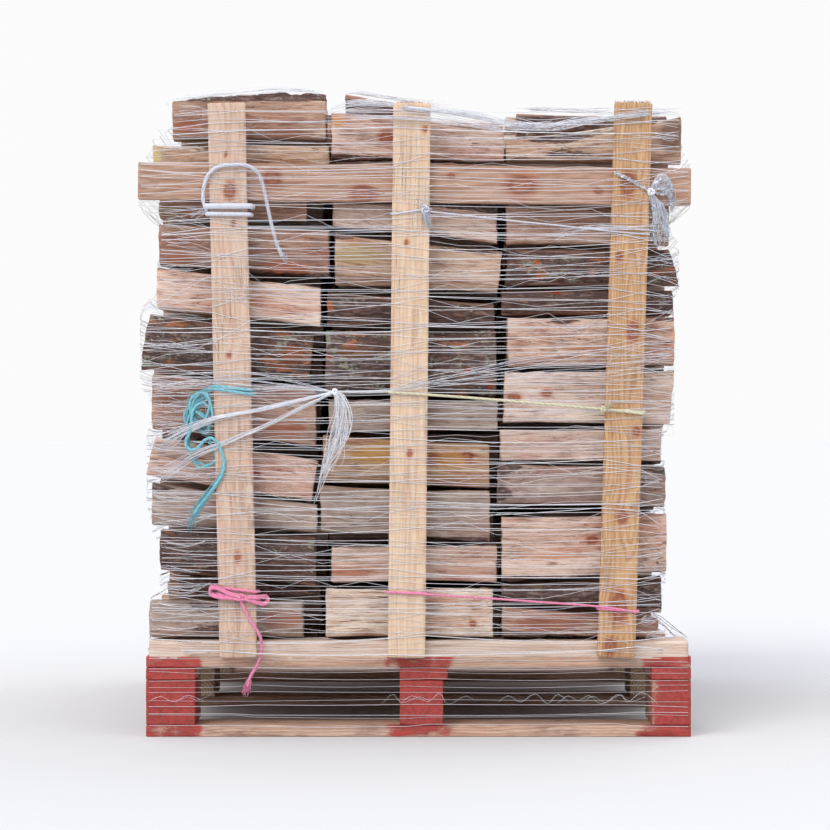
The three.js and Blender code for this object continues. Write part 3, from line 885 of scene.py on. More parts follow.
def timber(node, along, material, slot, seed, pith, step=14 * MM, corner=2.0 * MM, rough=0.7 * MM, knots=(),
           paint=None):
    """A sawn piece in place of a boxy solid: worn corners, a fuzzy surface and chipped edges.

    pith is where its growth rings are centred, in millimetres beside and above its own middle."""
    low, high = (np.array(point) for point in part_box(node))
    cloud = np.array([vertex.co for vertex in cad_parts[node].data.vertices])
    turn = TURNED[along]
    axis = "xyz".index(along)
    first = cloud[cloud[:, axis] < low[axis] + 3 * MM].mean(0)
    last = cloud[cloud[:, axis] > high[axis] - 3 * MM].mean(0)
    run = last - first
    length = np.linalg.norm(run)
    lean = run / length
    lean[np.abs(lean) < 1e-3] = 0
    sideways = turn[:, 1:] - np.outer(lean, lean @ turn[:, 1:])
    sideways /= np.linalg.norm(sideways, axis=0)
    spread = (cloud - (first + last) / 2) @ sideways
    half = np.abs(spread).max(0)

    ring = board_section(half, step, corner)
    stations = np.concatenate([[0, 1.2 * MM], np.linspace(step, length - step, int(length / step)),
                               [length - 1.2 * MM, length]]) - length / 2
    shrink = np.ones(len(stations))
    shrink[[0, -1]] = 1 - 1.1 * MM / half.min()
    rings = np.zeros((len(stations), len(ring), 3))
    rings[..., 0] = stations[:, None]
    rings[..., 1:] = ring[None] * shrink[:, None, None]

    cells = rings + seed * 3.7
    outward = ring_normals(rings)
    near_corner = np.minimum(np.abs(np.abs(ring[:, 0]) - half[0]), np.abs(np.abs(ring[:, 1]) - half[1]))
    at_corner = (near_corner > 1e-6) & (np.maximum(np.abs(ring[:, 0]) - half[0] + corner,
                                                   np.abs(ring[:, 1]) - half[1] + corner) > 0)
    chip = smoothstep(0.6, 0.8, layered(cells / (26 * MM), 3, seed + 5)) * 2.2 * MM
    fuzz = (layered(cells * fibrous(60, 9), 2, seed) - 1) * rough
    rings = rings + outward * (fuzz - chip * (0.15 + 0.85 * at_corner))[..., None]
    spots, quads, tris, sawn = capped_bar(rings, (0.97, 0.6))
    spots[:, 0] += (layered(spots / (12 * MM) + seed, 2, seed) - 0.5) * 0.8 * MM * sawn
    grain = spots + (seed * 0.731, pith[0] * MM, pith[1] * MM)
    placed = (first + last) / 2 + spots[:, :1] * lean + spots[:, 1:] @ sideways.T
    painted = np.zeros(len(placed)) if paint is None else paint(placed)
    batch = Batch()
    batch.add(placed, quads, tris, grain=grain, sawn=sawn, knot=knot_value(placed, knots), paint=painted)
    piece = batch.build(node + "_sawn", material)
    return place(piece, slot, node)


def from_faces(spots):
    """How far each point is from the pallet's front or back, whichever is nearer."""
    return np.minimum(spots[:, 1] - FRONT_Y, BACK_Y - spots[:, 1])


def board_paint(spots):
    """Overspray on the boards' front and back edges beside the blocks."""
    x = (spots[:, 0] - MIDDLE_X) / MM
    near = np.full(len(spots), 90.0)
    for low, high in ((-500, -409), (-52, 60), (412, 500)):
        near = np.minimum(near, np.maximum(np.maximum(low - x, x - high), 0))
    wobble = noise(spots / (18 * MM), 4) * 24
    return smoothstep(34, -8, near + wobble - 8) * smoothstep(70 * MM, 0, from_faces(spots)) * 0.85


def block_paint(spots):
    """Sprayed on the outer faces, so the inner ends stay bare, and thinner beside the right opening."""
    faces = smoothstep(120 * MM, 30 * MM, from_faces(spots))
    sides = smoothstep(25 * MM, 0, np.minimum(spots[:, 0] - pallet_low.x, pallet_high.x - spots[:, 0]))
    x = (spots[:, 0] - MIDDLE_X) / MM
    thin = 1 - 0.5 * smoothstep(462, 425, x) * (x > 300)
    return np.maximum(faces, sides) * thin * (0.8 + 0.4 * noise(spots / (50 * MM), 8))


def stringer_paint(spots):
    return smoothstep(60 * MM, 5 * MM, from_faces(spots)) * 0.95


# Knots as x, z, half width and half height, in millimetres.
RAIL_KNOTS = [(-268, 1024, 14, 13), (-103, 994, 20, 14), (189, 1011, 24, 16), (60, 1028, 6, 4),
              (330, 1000, 7, 5)]
BATTEN_KNOTS = {
    "left": [(-345, 1000, 9, 14), (-352, 1066, 3, 5), (-346, 700, 4, 6), (-338, 940, 4, 6), (-352, 590, 3, 5),
             (-330, 330, 5, 9)],
    "middle": [(-16, 520, 5, 8), (-22, 905, 4, 5), (12, 1112, 4, 6)],
    "right": [(383, 1012, 11, 20), (392, 742, 10, 16), (372, 405, 8, 12), (366, 240, 13, 26),
              (350, 168, 9, 14), (398, 560, 6, 9), (366, 880, 5, 8)],
}


def pallet_board(node, along, paint, seed, pith):
    timber(node, along, PALLET_WOOD, "pallet_board", seed, pith, paint=paint)


def add_pallet():
    """The bottom boards, blocks, stringers and deck boards. Gives the seed for the next piece of timber."""
    seed = 1
    for row in ("front", "middle", "back"):
        pallet_board(f"bottom_board_{row}", "x", board_paint, seed, (40, 22))
        for column in THIRDS:
            timber(f"block_{row}_{column}", "y", PAINTED_WOOD, "painted_block", seed + 20,
                   (14 * (seed % 3), 30), step=11 * MM, rough=1.2 * MM, paint=block_paint)
            seed += 1
    for column in THIRDS:
        pallet_board(f"stringer_{column}", "y", stringer_paint, seed, (30, 40))
        seed += 1
    for number in range(1, 6):
        pallet_board(f"deck_board_{number}", "x", board_paint, seed, (60, 25))
        seed += 1
    return seed


def add_frame(seed):
    """The base boards, rails and battens. The front ones are finer and have the knots."""
    for side in ("front", "back"):
        front = side == "front"
        fine = (6 if front else 12) * MM
        timber(f"base_board_{side}", "x", BASE_WOOD, "base_board", seed, (40, 30), step=10 * MM,
               corner=5 * MM, rough=1.2 * MM)
        timber(f"rail_{side}", "x", RAIL_WOOD, "rail_wood", seed + 1, (26, 12), step=fine, rough=0.5 * MM,
               knots=RAIL_KNOTS if front else ())
        for column in THIRDS:
            timber(f"batten_{side}_{column}", "z", BATTEN_WOOD[column], BATTEN_SLOT[column], seed + 2,
                   (24, 8) if column == "right" else (70, 26), step=fine, rough=0.5 * MM,
                   knots=BATTEN_KNOTS[column] if front else ())
            seed += 1
        seed += 5


add_frame(add_pallet())


# ---------------------------------------------------------------- logs

# A log's section from its front face (0) to its back (1), and from its foot to its top.
SECTIONS = {
    "split": [(0, -0.5), (0, 0.46), (0.05, 0.5), (0.5, 0.42), (0.86, 0.2), (1, -0.1), (0.85, -0.4),
              (0.4, -0.5)],
    "bark": [(0.24, -0.5), (0.07, -0.34), (0, 0), (0.05, 0.3), (0.26, 0.5), (0.75, 0.38), (1, 0),
             (0.8, -0.45)],
    "edge": [(0.1, -0.5), (0, -0.3), (0, 0.5), (0.5, 0.48), (0.95, 0.3), (1, -0.1), (0.6, -0.42),
             (0.3, -0.5)],
}
# Where the pith lies in the log's depth and height, and how far out the bark starts.
PITHS = {"split": (0.04, 0.56, 1.04), "bark": (0.9, 0.0, 0.86), "edge": (0.72, 0.05, 0.985)}
WOODS = {  # two shades of the split face, and how grey it has gone
    "split": ((228, 200, 176), (208, 174, 150), 0.12),
    "brown": ((204, 166, 144), (178, 136, 116), 0.2),
    "pink": ((234, 208, 192), (218, 184, 166), 0.08),
    "cream": ((246, 228, 212), (230, 204, 186), 0.05),
    "bark": ((184, 142, 120), (164, 120, 102), 0.2),
    "mossy": ((208, 182, 146), (188, 152, 118), 0.12),
    "grey": ((204, 180, 164), (184, 162, 150), 0.5),
}
LOG_DEEP = 118 * MM
OWN_LOGS = {  # how each log that is a solid of its own is cut, and its wood
    "log_left_01": ("split", "brown"), "log_left_04": ("split", "brown"),
    "log_left_05": ("split", "cream"), "log_left_06": ("bark", "bark"),
    "log_left_07": ("split", "brown"), "log_left_08": ("split", "pink"),
    "log_left_12": ("edge", "grey"), "log_middle_01": ("split", "pink"),
    "log_middle_04": ("edge", "split"), "log_middle_06": ("bark", "bark"),
    "log_middle_08": ("edge", "mossy"), "log_middle_09": ("split", "grey"),
    "log_middle_12": ("split", "cream"), "log_right_01": ("edge", "split"),
    "log_right_04": ("bark", "bark"), "log_right_06": ("edge", "pink"),
    "log_right_07": ("split", "cream"), "log_right_08": ("split", "cream"),
    "log_right_09": ("edge", "grey"), "log_right_10": ("split", "pink"),
}
OWN_SLOTS = {
    "log_left_06": "bark_log", "log_middle_06": "bark_log", "log_right_04": "bark_log",
    "log_left_12": "weathered_log", "log_middle_09": "weathered_log", "log_right_09": "weathered_log",
    "log_middle_08": "mossy_log",
}
# Front logs that are part of the rows' solids: bay, number, cut, wood, ends, heights at each end, set back.
ROW_LOGS = [
    ("left", "02", "edge", "split", (-491, -165), (1041, 1090), (1038, 1087), 12),
    ("left", "03", "split", "brown", (-478, -207), (952, 1034), (948, 1032), 10),
    ("left", "09", "edge", "grey", (-491, -187), (387, 465), (372, 424), 5),
    ("left", "10", "bark", "bark", (-477, -191), (301, 380), (272, 366), 4),
    ("left", "11", "bark", "bark", (-445, -191), (254, 294), (253, 266), 46),
    ("middle", "02", "bark", "bark", (-148, 138), (990, 1053), (985, 1050), 30),
    ("middle", "03", "split", "pink", (-158, 145), (941, 984), (906, 978), 14),
    ("middle", "05", "bark", "bark", (-169, 140), (756, 819), (756, 797), 12),
    ("middle", "07", "split", "grey", (-165, 146), (558, 619), (562, 618), 8),
    ("middle", "11", "split", "pink", (-160, 144), (281, 348), (281, 352), 9),
    ("right", "02", "bark", "bark", (172, 455), (987, 1046), (985, 1044), 30),
    ("right", "03", "split", "brown", (162, 462), (904, 979), (903, 979), 8),
    ("right", "05", "bark", "bark", (154, 469), (774, 823), (774, 823), 9),
    ("right", "11", "bark", "bark", (154, 449), (244, 278), (222, 293), 8),
    ("right", "12", "split", "brown", (154, 441), (181, 237), (181, 216), 6),
]
CROWNS = {"log_left_01": 14 * MM}  # how far a log's top rises between its ends
STAINS_AND_HIGHLIGHTS = [  # log, x, z, half width, half height in millimetres, and colour of each stain and of one painted highlight
    ("log_left_02", -487, 1066, 16, 22, (244, 228, 164)),
    ("log_left_06", -232, 700, 30, 24, (176, 106, 66)),
    ("log_left_06", -440, 760, 26, 11, (186, 132, 90)),
    ("log_middle_01", -150, 1132, 16, 14, (226, 170, 92)),
    ("log_middle_04", -110, 885, 60, 26, (196, 176, 128)),
    ("log_middle_05", -164, 792, 9, 12, (236, 130, 60)),
    ("log_middle_06", 90, 672, 8, 9, (214, 92, 54)),
    ("log_middle_06", 132, 643, 7, 10, (206, 84, 48)),
    ("log_middle_06", -120, 706, 40, 14, (150, 106, 76)),
    ("log_middle_08", -60, 520, 90, 26, (214, 168, 92)),
    ("log_middle_08", 60, 508, 40, 20, (208, 158, 88)),
    ("log_right_04", 218, 870, 9, 8, (226, 120, 60)),
    ("log_right_04", 222, 846, 7, 7, (220, 104, 54)),
    ("log_right_05", 255, 817, 10, 6, (216, 84, 50)),
    # painted highlight: a near-white band along log_right_01's sunlit top edge
    ("log_right_01", 300, 1118, 120, 14, (252, 240, 222)),
    ("log_right_01", 466, 1108, 30, 44, (124, 96, 84)),
    ("log_left_01", -430, 1122, 34, 14, (196, 122, 92)),
    ("log_left_01", -236, 1108, 60, 10, (150, 100, 82)),
    ("log_left_02", -240, 1052, 70, 12, (184, 138, 108)),
    ("log_left_03", -456, 966, 34, 16, (156, 128, 92)),
    ("log_left_04", -246, 862, 60, 16, (190, 116, 86)),
    ("log_left_04", -440, 878, 34, 16, (182, 120, 96)),
    ("log_left_07", -250, 566, 60, 16, (184, 112, 80)),
    ("log_left_12", -250, 214, 56, 20, (176, 112, 88)),
    ("log_middle_11", -120, 300, 50, 12, (190, 126, 100)),
    ("log_right_12", 240, 206, 80, 16, (172, 112, 90)),
    ("log_right_06", 320, 712, 70, 8, (206, 150, 112)),
    ("log_right_10", 240, 330, 80, 10, (206, 150, 116)),
]
LOG_KNOTS = {
    "log_middle_01": [(-58, 1100, 13, 11)],
    "log_middle_08": [(30, 508, 12, 9), (90, 514, 8, 7)],
    "log_right_07": [(176, 623, 11, 7), (236, 630, 9, 6)],
    "log_middle_12": [(100, 206, 6, 5)],
    "log_left_08": [(-300, 480, 8, 6)],
    "log_right_10": [(320, 360, 9, 6)],
}


BARK_EDGE = 3.5 * MM  # half the width over which bare wood turns to bark


def log_relief(cells, bark, seed):
    """How far a log's surface stands out: a slow sweep, split fibres on bare wood and ridges on bark."""
    sweep = (layered(cells * fibrous(150, 60), 2, seed + 1) - 0.5) * 11 * MM
    ribs = (layered(cells * fibrous(130, 13), 2, seed + 2) - 0.55) * 4.6 * MM
    fibres = (noise(cells * fibrous(45, 5), seed + 3) - 0.5) * 1.5 * MM
    plates = np.abs(layered(cells * fibrous(42, 15), 3, seed + 4) - 0.5) * 2
    grit = (noise(cells / (7 * MM), seed + 6) - 0.5) * 2 * MM
    ridges = (smoothstep(0.02, 0.35, plates) - 0.55) * 5.5 * MM + grit
    return sweep * 0.5 + (ribs + fibres) * (1 - bark) + ridges * bark


def stains_and_highlights_on(log, spots):
    """The colour at each point of a log from its stains and its painted highlight, and how strong it is."""
    stain = np.ones((len(spots), 3)) * 0.5
    stained = np.zeros(len(spots))
    for marked_log, *mark, colour in STAINS_AND_HIGHLIGHTS:
        if marked_log == log:
            here = np.clip(1.3 - ellipses_away(spots, *mark), 0, 1)
            stain = np.where(here[:, None] > stained[:, None], np.array(tone(*colour)[:3]), stain)
            stained = np.maximum(stained, here)
    return stain, stained


def add_log(batch, rings, pith, radius, name, wood, seed, limit=None, shares=(0.97, 0.7, 0.35)):
    """Gives a bar of wood its split fibres, bark ridges and rough ends, and adds it to the batch.

    pith is the line (y, z) that the growth rings go round, one point a station, and radius is where the
    bark starts. No point comes in front of what limit gives. shares are the rings on the sawn ends."""
    random = np.random.default_rng(seed)
    offset = random.uniform(0, 50, 3)
    x = rings[..., 0]
    reach = np.linalg.norm(rings[..., 1:] - pith[:, None], axis=-1)
    cells = rings + offset
    patches = layered(cells * fibrous(70, 32), 3, seed) - 0.5
    patchy = (16 if wood == "bark" else 5) * MM
    bark = smoothstep(-BARK_EDGE, BARK_EDGE, reach - radius + patches * patchy)

    calm = smoothstep(0, 6 * MM, np.minimum(x - x.min(0), x.max(0) - x))
    rings = rings + ring_normals(rings) * (log_relief(cells, bark, seed) * (0.5 + 0.5 * calm))[..., None]
    ragged = (layered(cells[[0, -1]] / (16 * MM), 2, seed + 7) - 0.5) * 5 * MM
    rings[:2, :, 0] += ragged[0]
    rings[-2:, :, 0] += ragged[1]
    if limit is not None:
        rings[..., 1] = np.maximum(rings[..., 1], limit(rings))

    spots, quads, tris, sawn = capped_bar(rings, shares)
    stations, count = rings.shape[:2]
    spots[:, 0] += (layered((spots + offset) / (9 * MM), 2, seed + 8) - 0.5) * 1.6 * MM * (sawn > 0)
    end_points = len(shares) * count + 1
    station = np.concatenate([np.repeat(np.arange(stations), count), np.zeros(end_points, int),
                              np.full(end_points, stations - 1)])
    grain = np.column_stack([spots[:, 0] + offset[0], spots[:, 1:] - pith[station]])
    all_bark = smoothstep(-BARK_EDGE, BARK_EDGE, np.linalg.norm(grain[:, 1:], axis=1) - radius - 2 * MM)
    all_bark[:stations * count] = bark.ravel()
    first, second, age = WOODS[wood]
    first, second = np.array(tone(*first)[:3]), np.array(tone(*second)[:3])
    blend = smoothstep(0.3, 0.7, layered((spots + offset) * fibrous(160, 40), 2, seed + 9))
    tint = first + (second - first) * blend[:, None]
    tint *= random.uniform(0.9, 1.08) * (1 + random.uniform(-0.03, 0.03, 3))
    stain, stained = stains_and_highlights_on(name, spots)
    batch.add(spots, quads, tris, grain=grain, sawn=sawn, bark=all_bark, tint=tint, stain=stain,
              stained=stained, knot=knot_value(spots, LOG_KNOTS.get(name, ())),
              age=np.full(len(spots), np.clip(age * random.uniform(0.7, 1.3), 0, 1)))


def front_limit(rings):
    """How far forward a front log may bulge: not into the rail, and not to the battens elsewhere."""
    behind_rail = (rings[..., 2] > RAIL_LOW - 8 * MM) & (rings[..., 2] < RAIL_HIGH + 8 * MM)
    return np.where(behind_rail, LOG_FACE - 0.3 * MM, LOG_FACE - 7 * MM)


def faced_log(batch, name, cut, wood, ends, left, right, set_back, deep, lean, seed, stations=52, count=60,
              mirrored=False):
    """A log at the front, or mirrored at the back, whose long face shows. All sizes in metres.

    ends are its two ends in X, left and right its foot and top at each end, and lean how far each end's top
    stands out past its middle."""
    high = (left[1] - left[0] + right[1] - right[0]) / 2
    wide = deep - set_back

    def forward(middle):
        return np.where(middle[:, 0] < 0.3 * wide, 2.2, 1.0)

    section = rounded(resampled(np.array(SECTIONS[cut]) * (wide, high), count, forward) / (wide, high), 2)
    along = np.concatenate([[0, 0.004], np.linspace(0.018, 0.982, stations), [0.996, 1]])
    foot = left[0] + (right[0] - left[0]) * along
    top = left[1] + (right[1] - left[1]) * along
    top = top + CROWNS.get(name, 0) * (0.35 + 0.65 * np.sin(math.pi * along ** 1.4))
    waist = 1 - 0.05 * np.sin(math.pi * along)
    trim = np.ones(len(along))
    trim[[0, -1]] = 1 - 2 * MM / high
    d, h = section[:, 0], section[:, 1]
    rings = np.zeros((len(along), count, 3))
    tilt = lean[0] + (lean[1] - lean[0]) * along
    rings[..., 0] = (ends[0] + (ends[1] - ends[0]) * along)[:, None] + tilt[:, None] * h
    rings[..., 1] = LOG_FACE + set_back + (0.5 + (d[None] - 0.5) * trim[:, None]) * wide
    rings[..., 2] = ((foot + top) / 2)[:, None] + h[None] * (waist * trim * (top - foot))[:, None]

    depth, height, share = PITHS[cut]
    flip = -1 if seed % 2 and cut == "split" else 1
    drift = (noise(np.column_stack([along * 3, np.full(len(along), seed), along * 0]), seed) - 0.5) * 0.16
    pith = np.column_stack([LOG_FACE + set_back + depth * wide + drift * high,
                            (foot + top) / 2 + flip * height * (top - foot)])
    radius = {"split": share * high, "edge": math.hypot(depth * wide, 0.5 * high) * share,
              "bark": wide * depth * share}[cut]
    if clockwise(rings[0, :, 1], rings[0, :, 2]):
        rings = rings[:, ::-1]
    if mirrored:
        rings = rings[:, ::-1] * (1, -1, 1)
        pith = pith * (-1, 1)
    add_log(batch, rings, pith, radius, name, wood, seed, None if mirrored else front_limit)


def end_measures(node):
    """A log's ends, its foot and top at each end, its front face and its ends' lean, from its solid."""
    cloud = np.array([vertex.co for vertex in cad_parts[node].data.vertices])
    middle = (cloud[:, 0].min() + cloud[:, 0].max()) / 2
    sides = []
    for side in (-1, 1):
        half = cloud[(cloud[:, 0] - middle) * side > 0]
        reach = (half[:, 0] - middle) * side
        end = half[reach > reach.max() - 25 * MM]
        foot, top = end[:, 2].min(), end[:, 2].max()
        at_foot = end[end[:, 2] < foot + 1 * MM][:, 0].mean()
        at_top = end[end[:, 2] > top - 1 * MM][:, 0].mean()
        sides.append(((at_foot + at_top) / 2, (foot, top), at_top - at_foot))
    return sides, cloud[:, 1].min() - LOG_FACE


def add_front_logs():
    for seed, (node, (cut, wood)) in enumerate(OWN_LOGS.items(), start=101):
        (left, right), set_back = end_measures(node)
        slot = OWN_SLOTS.get(node, "split_log")
        batch = Batch()
        faced_log(batch, node, cut, wood, (left[0], right[0]), left[1], right[1], set_back, LOG_DEEP,
                  (left[2], right[2]), seed)
        place(batch.build(node + "_wood", LOG_FINISH[slot]), slot, node)


# ---------------------------------------------------------------- rows behind the front logs

BAYS = {"left": (-496, -182), "middle": (-160, 148), "right": (160, 474)}
BAY_TOPS = {  # heights of each bay's top, from front to back
    "left": (1160, 1176, 1150, 1172),
    "middle": (1128, 1160, 1172, 1160),
    "right": (1128, 1160, 1138, 1165),
}
TOP_LOGS = [  # logs that lie on the rows just behind the front ones
    ("middle", "00", "bark", "bark", (-138, 6), (1122, 1200), (1120, 1176), 130),
    ("right", "00", "bark", "bark", (186, 470), (1100, 1163), (1098, 1158), 130),
]
TOP_LOG_EXTRA = 110 * MM
ROW_FRONT, ROW_BACK = -450 * MM, 462 * MM
TOPS_BACK = 577 * MM
DECK_TOP = BASE_TOP - 26 * MM
CELL = 90 * MM
ROW_KINDS = ["split", "brown", "pink", "grey", "split", "brown", "bark"]


def clipped(polygon, point, direction):
    """The part of a convex polygon on the near side of a line through point, direction pointing away."""
    kept = []
    for a, b in zip(polygon, polygon[1:] + polygon[:1]):
        da, db = np.dot(a - point, direction), np.dot(b - point, direction)
        if da <= 0:
            kept.append(a)
        if (da < 0) != (db < 0) and abs(da - db) > 1e-12:
            kept.append(a + (b - a) * da / (da - db))
    return kept


def row_top(bay, y):
    """The height of a bay's top at a depth, which steps up and down from front to back."""
    tops = BAY_TOPS[bay]
    pitch = (TOPS_BACK - ROW_FRONT) / len(tops)
    return tops[int(np.clip((y - ROW_FRONT) / pitch, 0, len(tops) - 1))] * MM


def cell_seeds(bay, random):
    """The logs' middles in a bay's rows, on a jittered brickwork grid."""
    seeds = []
    z = BASE_TOP + CELL * 0.4
    level = 0
    while z < 1.2:
        y = ROW_FRONT + CELL * (0.5 if level % 2 else 0.1)
        while y < ROW_BACK:
            seed = np.array([y, z]) + random.uniform(-0.4, 0.4, 2) * CELL
            if seed[1] < row_top(bay, y) - 0.25 * CELL and ROW_FRONT + 8 * MM < seed[0] < ROW_BACK - 8 * MM:
                seeds.append(seed)
            y += CELL * random.uniform(0.72, 1.3)
        z += CELL * 0.86
        level += 1
    return np.array(seeds)


def packed_cells(bay, random):
    """Sections of the logs in a bay's rows, which fill it from the deck to its uneven top."""
    seeds = cell_seeds(bay, random)
    made = []
    for seed in seeds:
        top = row_top(bay, seed[0])
        low, high = DECK_TOP, top + 12 * MM
        cell = [np.array(corner)
                for corner in ((ROW_FRONT, low), (ROW_BACK, low), (ROW_BACK, high), (ROW_FRONT, high))]
        for other in seeds:
            apart = other - seed
            gap = np.linalg.norm(apart)
            if 0 < gap < 2.6 * CELL:
                cell = clipped(cell, seed + apart / 2 - apart / gap * 1.2 * MM, apart / gap)
        for side, edge in ((-1.0, ROW_FRONT), (1.0, ROW_BACK)):
            if abs(seed[0] - edge) < 0.8 * CELL:
                face = np.array([edge - side * random.uniform(0, 14) * MM, seed[1]])
                cell = clipped(cell, face, np.array([side, random.uniform(-0.5, 0.5)]))
        if seed[1] > top - CELL:
            lean = random.uniform(-0.45, 0.45)
            cell = clipped(cell, np.array([seed[0], top - random.uniform(0, 18) * MM]), np.array([lean, 1.0]))
        if len(cell) >= 3:
            made.append((seed, cell, seed[1] > top - 1.25 * CELL))
    return made


def stack_sides():
    """How far the stack reaches to the left and right at each level, eased from log to log."""
    levels = np.arange(0, 1.25, 10 * MM)
    right = np.full(len(levels), 440 * MM)
    left = -right
    outer = ("log_left", "log_right", "rail", "bottom", "block", "stringer", "deck", "base")
    spans = [(box[0].x, box[1].x, box[0].z, box[1].z)
             for box in (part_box(node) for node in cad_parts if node.startswith(outer))]
    for _, _, _, _, ends, *heights, _ in ROW_LOGS:
        spans.append((ends[0] * MM + MIDDLE_X, ends[1] * MM + MIDDLE_X, min(pair[0] for pair in heights) * MM,
                      max(pair[1] for pair in heights) * MM))
    for low_x, high_x, low_z, high_z in spans:
        within = (levels > low_z - 12 * MM) & (levels < high_z + 12 * MM)
        left[within] = np.minimum(left[within], low_x)
        right[within] = np.maximum(right[within], high_x)
    for _ in range(3):
        left = np.minimum(left, np.convolve(np.pad(left, 1, "edge"), [0.25, 0.5, 0.25], "valid"))
        right = np.maximum(right, np.convolve(np.pad(right, 1, "edge"), [0.25, 0.5, 0.25], "valid"))
    return levels, left - 2 * MM, right + 2 * MM


LEVELS, STACK_LEFT, STACK_RIGHT = stack_sides()


def front_reach(low, high):
    """How far left and right the front logs reach between two heights, which hides the rows behind them."""
    within = (LEVELS > low) & (LEVELS < high)
    return STACK_LEFT[within].max(), STACK_RIGHT[within].min()


def add_row_front(batch, bay):
    """A bay's front logs that are part of its rows' solid, and those that lie on top behind the front."""
    for row in ROW_LOGS + TOP_LOGS:
        row_bay, number, cut, wood, ends, *heights, set_back = row
        if row_bay == bay:
            deep = LOG_DEEP + (TOP_LOG_EXTRA if row in TOP_LOGS else 0)
            faced_log(batch, f"log_{bay}_{number}", cut, wood, tuple(x * MM + MIDDLE_X for x in ends),
                      *(tuple(z * MM for z in pair) for pair in heights), set_back * MM, deep, (0, 0),
                      int(number) + len(bay) * 40, stations=46, count=54)


def add_row_log(batches, bay, seed, cell, on_top, random):
    """A log in the rows, whose sawn ends show at the stack's sides. It goes into the batch for its depth."""
    number = random.integers(1 << 30)
    seen = bay != "middle" or on_top
    count = 22 if seen else 12
    ring = rounded(anticlockwise(resampled(np.array(cell), count)), 1)
    pith = ring[random.integers(count)] * 0.9 + seed * 0.1
    spread = np.linalg.norm(ring - pith, axis=1)
    radius = np.quantile(spread, random.uniform(0.7, 0.97))
    stretch = np.minimum(1, radius * random.uniform(1.0, 1.04) / np.maximum(spread, 1e-6))
    ring = pith + (ring - pith) * np.maximum(stretch, 0.88)[:, None]

    start, stop = (x * MM + MIDDLE_X + random.normal(0, 7 * MM) for x in BAYS[bay])
    reach = front_reach(ring[:, 1].min(), ring[:, 1].max())
    inside = (8 if seed[0] < -0.1 else 4) * MM
    start, stop = max(start, reach[0] + inside), min(stop, reach[1] - inside)
    inner = 16 if on_top else 4 if seen else 1
    along = np.concatenate([[0, 0.005], np.linspace(0.03, 0.97, inner + 1), [0.995, 1]])
    trim = np.ones(len(along))
    trim[[0, -1]] = 0.965
    middle = ring.mean(0)
    skew = random.normal(0, 0.05, 2)
    rings = np.zeros((len(along), count, 3))
    rings[..., 0] = (start + (stop - start) * along)[:, None] + ((ring - middle) @ skew)[None]
    rings[..., 1:] = middle + (ring - middle)[None] * trim[:, None, None]
    wood = ROW_KINDS[random.integers(len(ROW_KINDS))]
    part = 0 if seed[0] < -0.15 else 1 if seed[0] < 0.15 else 2
    add_log(batches[part], rings, np.broadcast_to(pith, (len(along), 2)), radius * 0.94, "", wood, number,
            shares=(0.96, 0.6, 0.3) if seen else (0.6,))


def add_back_course(batch, bay, random):
    """The course of split logs that faces the back."""
    left, right = BAYS[bay]
    z = BASE_TOP + 3 * MM
    number = 1
    while z < 1.1:
        high = random.uniform(62, 104) * MM
        tilt = random.uniform(-0.5, 0.5, 2) * 22 * MM
        cut = ["split", "edge", "bark", "split"][random.integers(4)]
        wood = "bark" if cut == "bark" else ROW_KINDS[random.integers(6)]
        reach = front_reach(z, z + high)
        ends = (max(left * MM + MIDDLE_X + random.normal(0, 9 * MM), reach[0] + 4 * MM),
                min(right * MM + MIDDLE_X + random.normal(0, 9 * MM), reach[1] - 4 * MM))
        heights = [(z + 1.5 * MM, z + high + min(drop, 0)) for drop in tilt]
        faced_log(batch, "", cut, wood, ends, *heights, random.uniform(0, 14) * MM, LOG_DEEP, (0, 0),
                  900 + number + len(bay) * 50, stations=26, count=40, mirrored=True)
        z += high
        number += 1


def add_rows():
    """The logs behind the front ones, in a front, middle and back piece for each bay."""
    random = np.random.default_rng(7)
    for bay in BAYS:
        batches = [Batch() for _ in range(3)]
        add_row_front(batches[0], bay)
        for seed, cell, on_top in packed_cells(bay, random):
            add_row_log(batches, bay, seed, cell, on_top, random)
        add_back_course(batches[2], bay, random)
        for part, batch in zip(("front", "middle", "back"), batches):
            nodes = [f"log_rows_{bay}"] if part == "front" else []
            place(batch.build(f"rows_{bay}_{part}", LOG_FINISH["split_log"]), "split_log", *nodes)


add_front_logs()
add_rows()


# ---------------------------------------------------------------- net

NET_THREAD = 0.6 * MM
NET_LOW, NET_HIGH = 158 * MM, 1150 * MM
PALLET_THREADS = (22, 36, 43, 59, 68, 84, 91, 107, 120, 127, 141)


def batten_ends(side):
    """Each batten's two edges at its foot and at its head, and those heights, from its solid."""
    made = []
    for column in THIRDS:
        cloud = np.array([vertex.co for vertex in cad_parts[f"batten_{side}_{column}"].data.vertices])
        low, high = cloud[:, 2].min(), cloud[:, 2].max()
        foot = cloud[cloud[:, 2] < low + 5 * MM][:, 0]
        head = cloud[cloud[:, 2] > high - 5 * MM][:, 0]
        made.append((foot.min(), foot.max(), head.min(), head.max(), low, high))
    return made


BATTENS = {side: batten_ends(side) for side in ("front", "back")}


def batten_edges(batten, z):
    """The two edges of a leaning batten at a height."""
    foot_low, foot_high, head_low, head_high, low, high = batten
    share = (z - low) / (high - low)
    return foot_low + (head_low - foot_low) * share, foot_high + (head_high - foot_high) * share


BATTEN_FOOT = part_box("batten_front_left")[0].z
# Where threads over the pallet bend, and which of a thread's supports are the middles of its two sides.
OVER_BLOCKS = [x * MM + MIDDLE_X for x in (-340, -300, -20, 20, 360, 400)]
SIDE_MIDDLES = [1, 12]


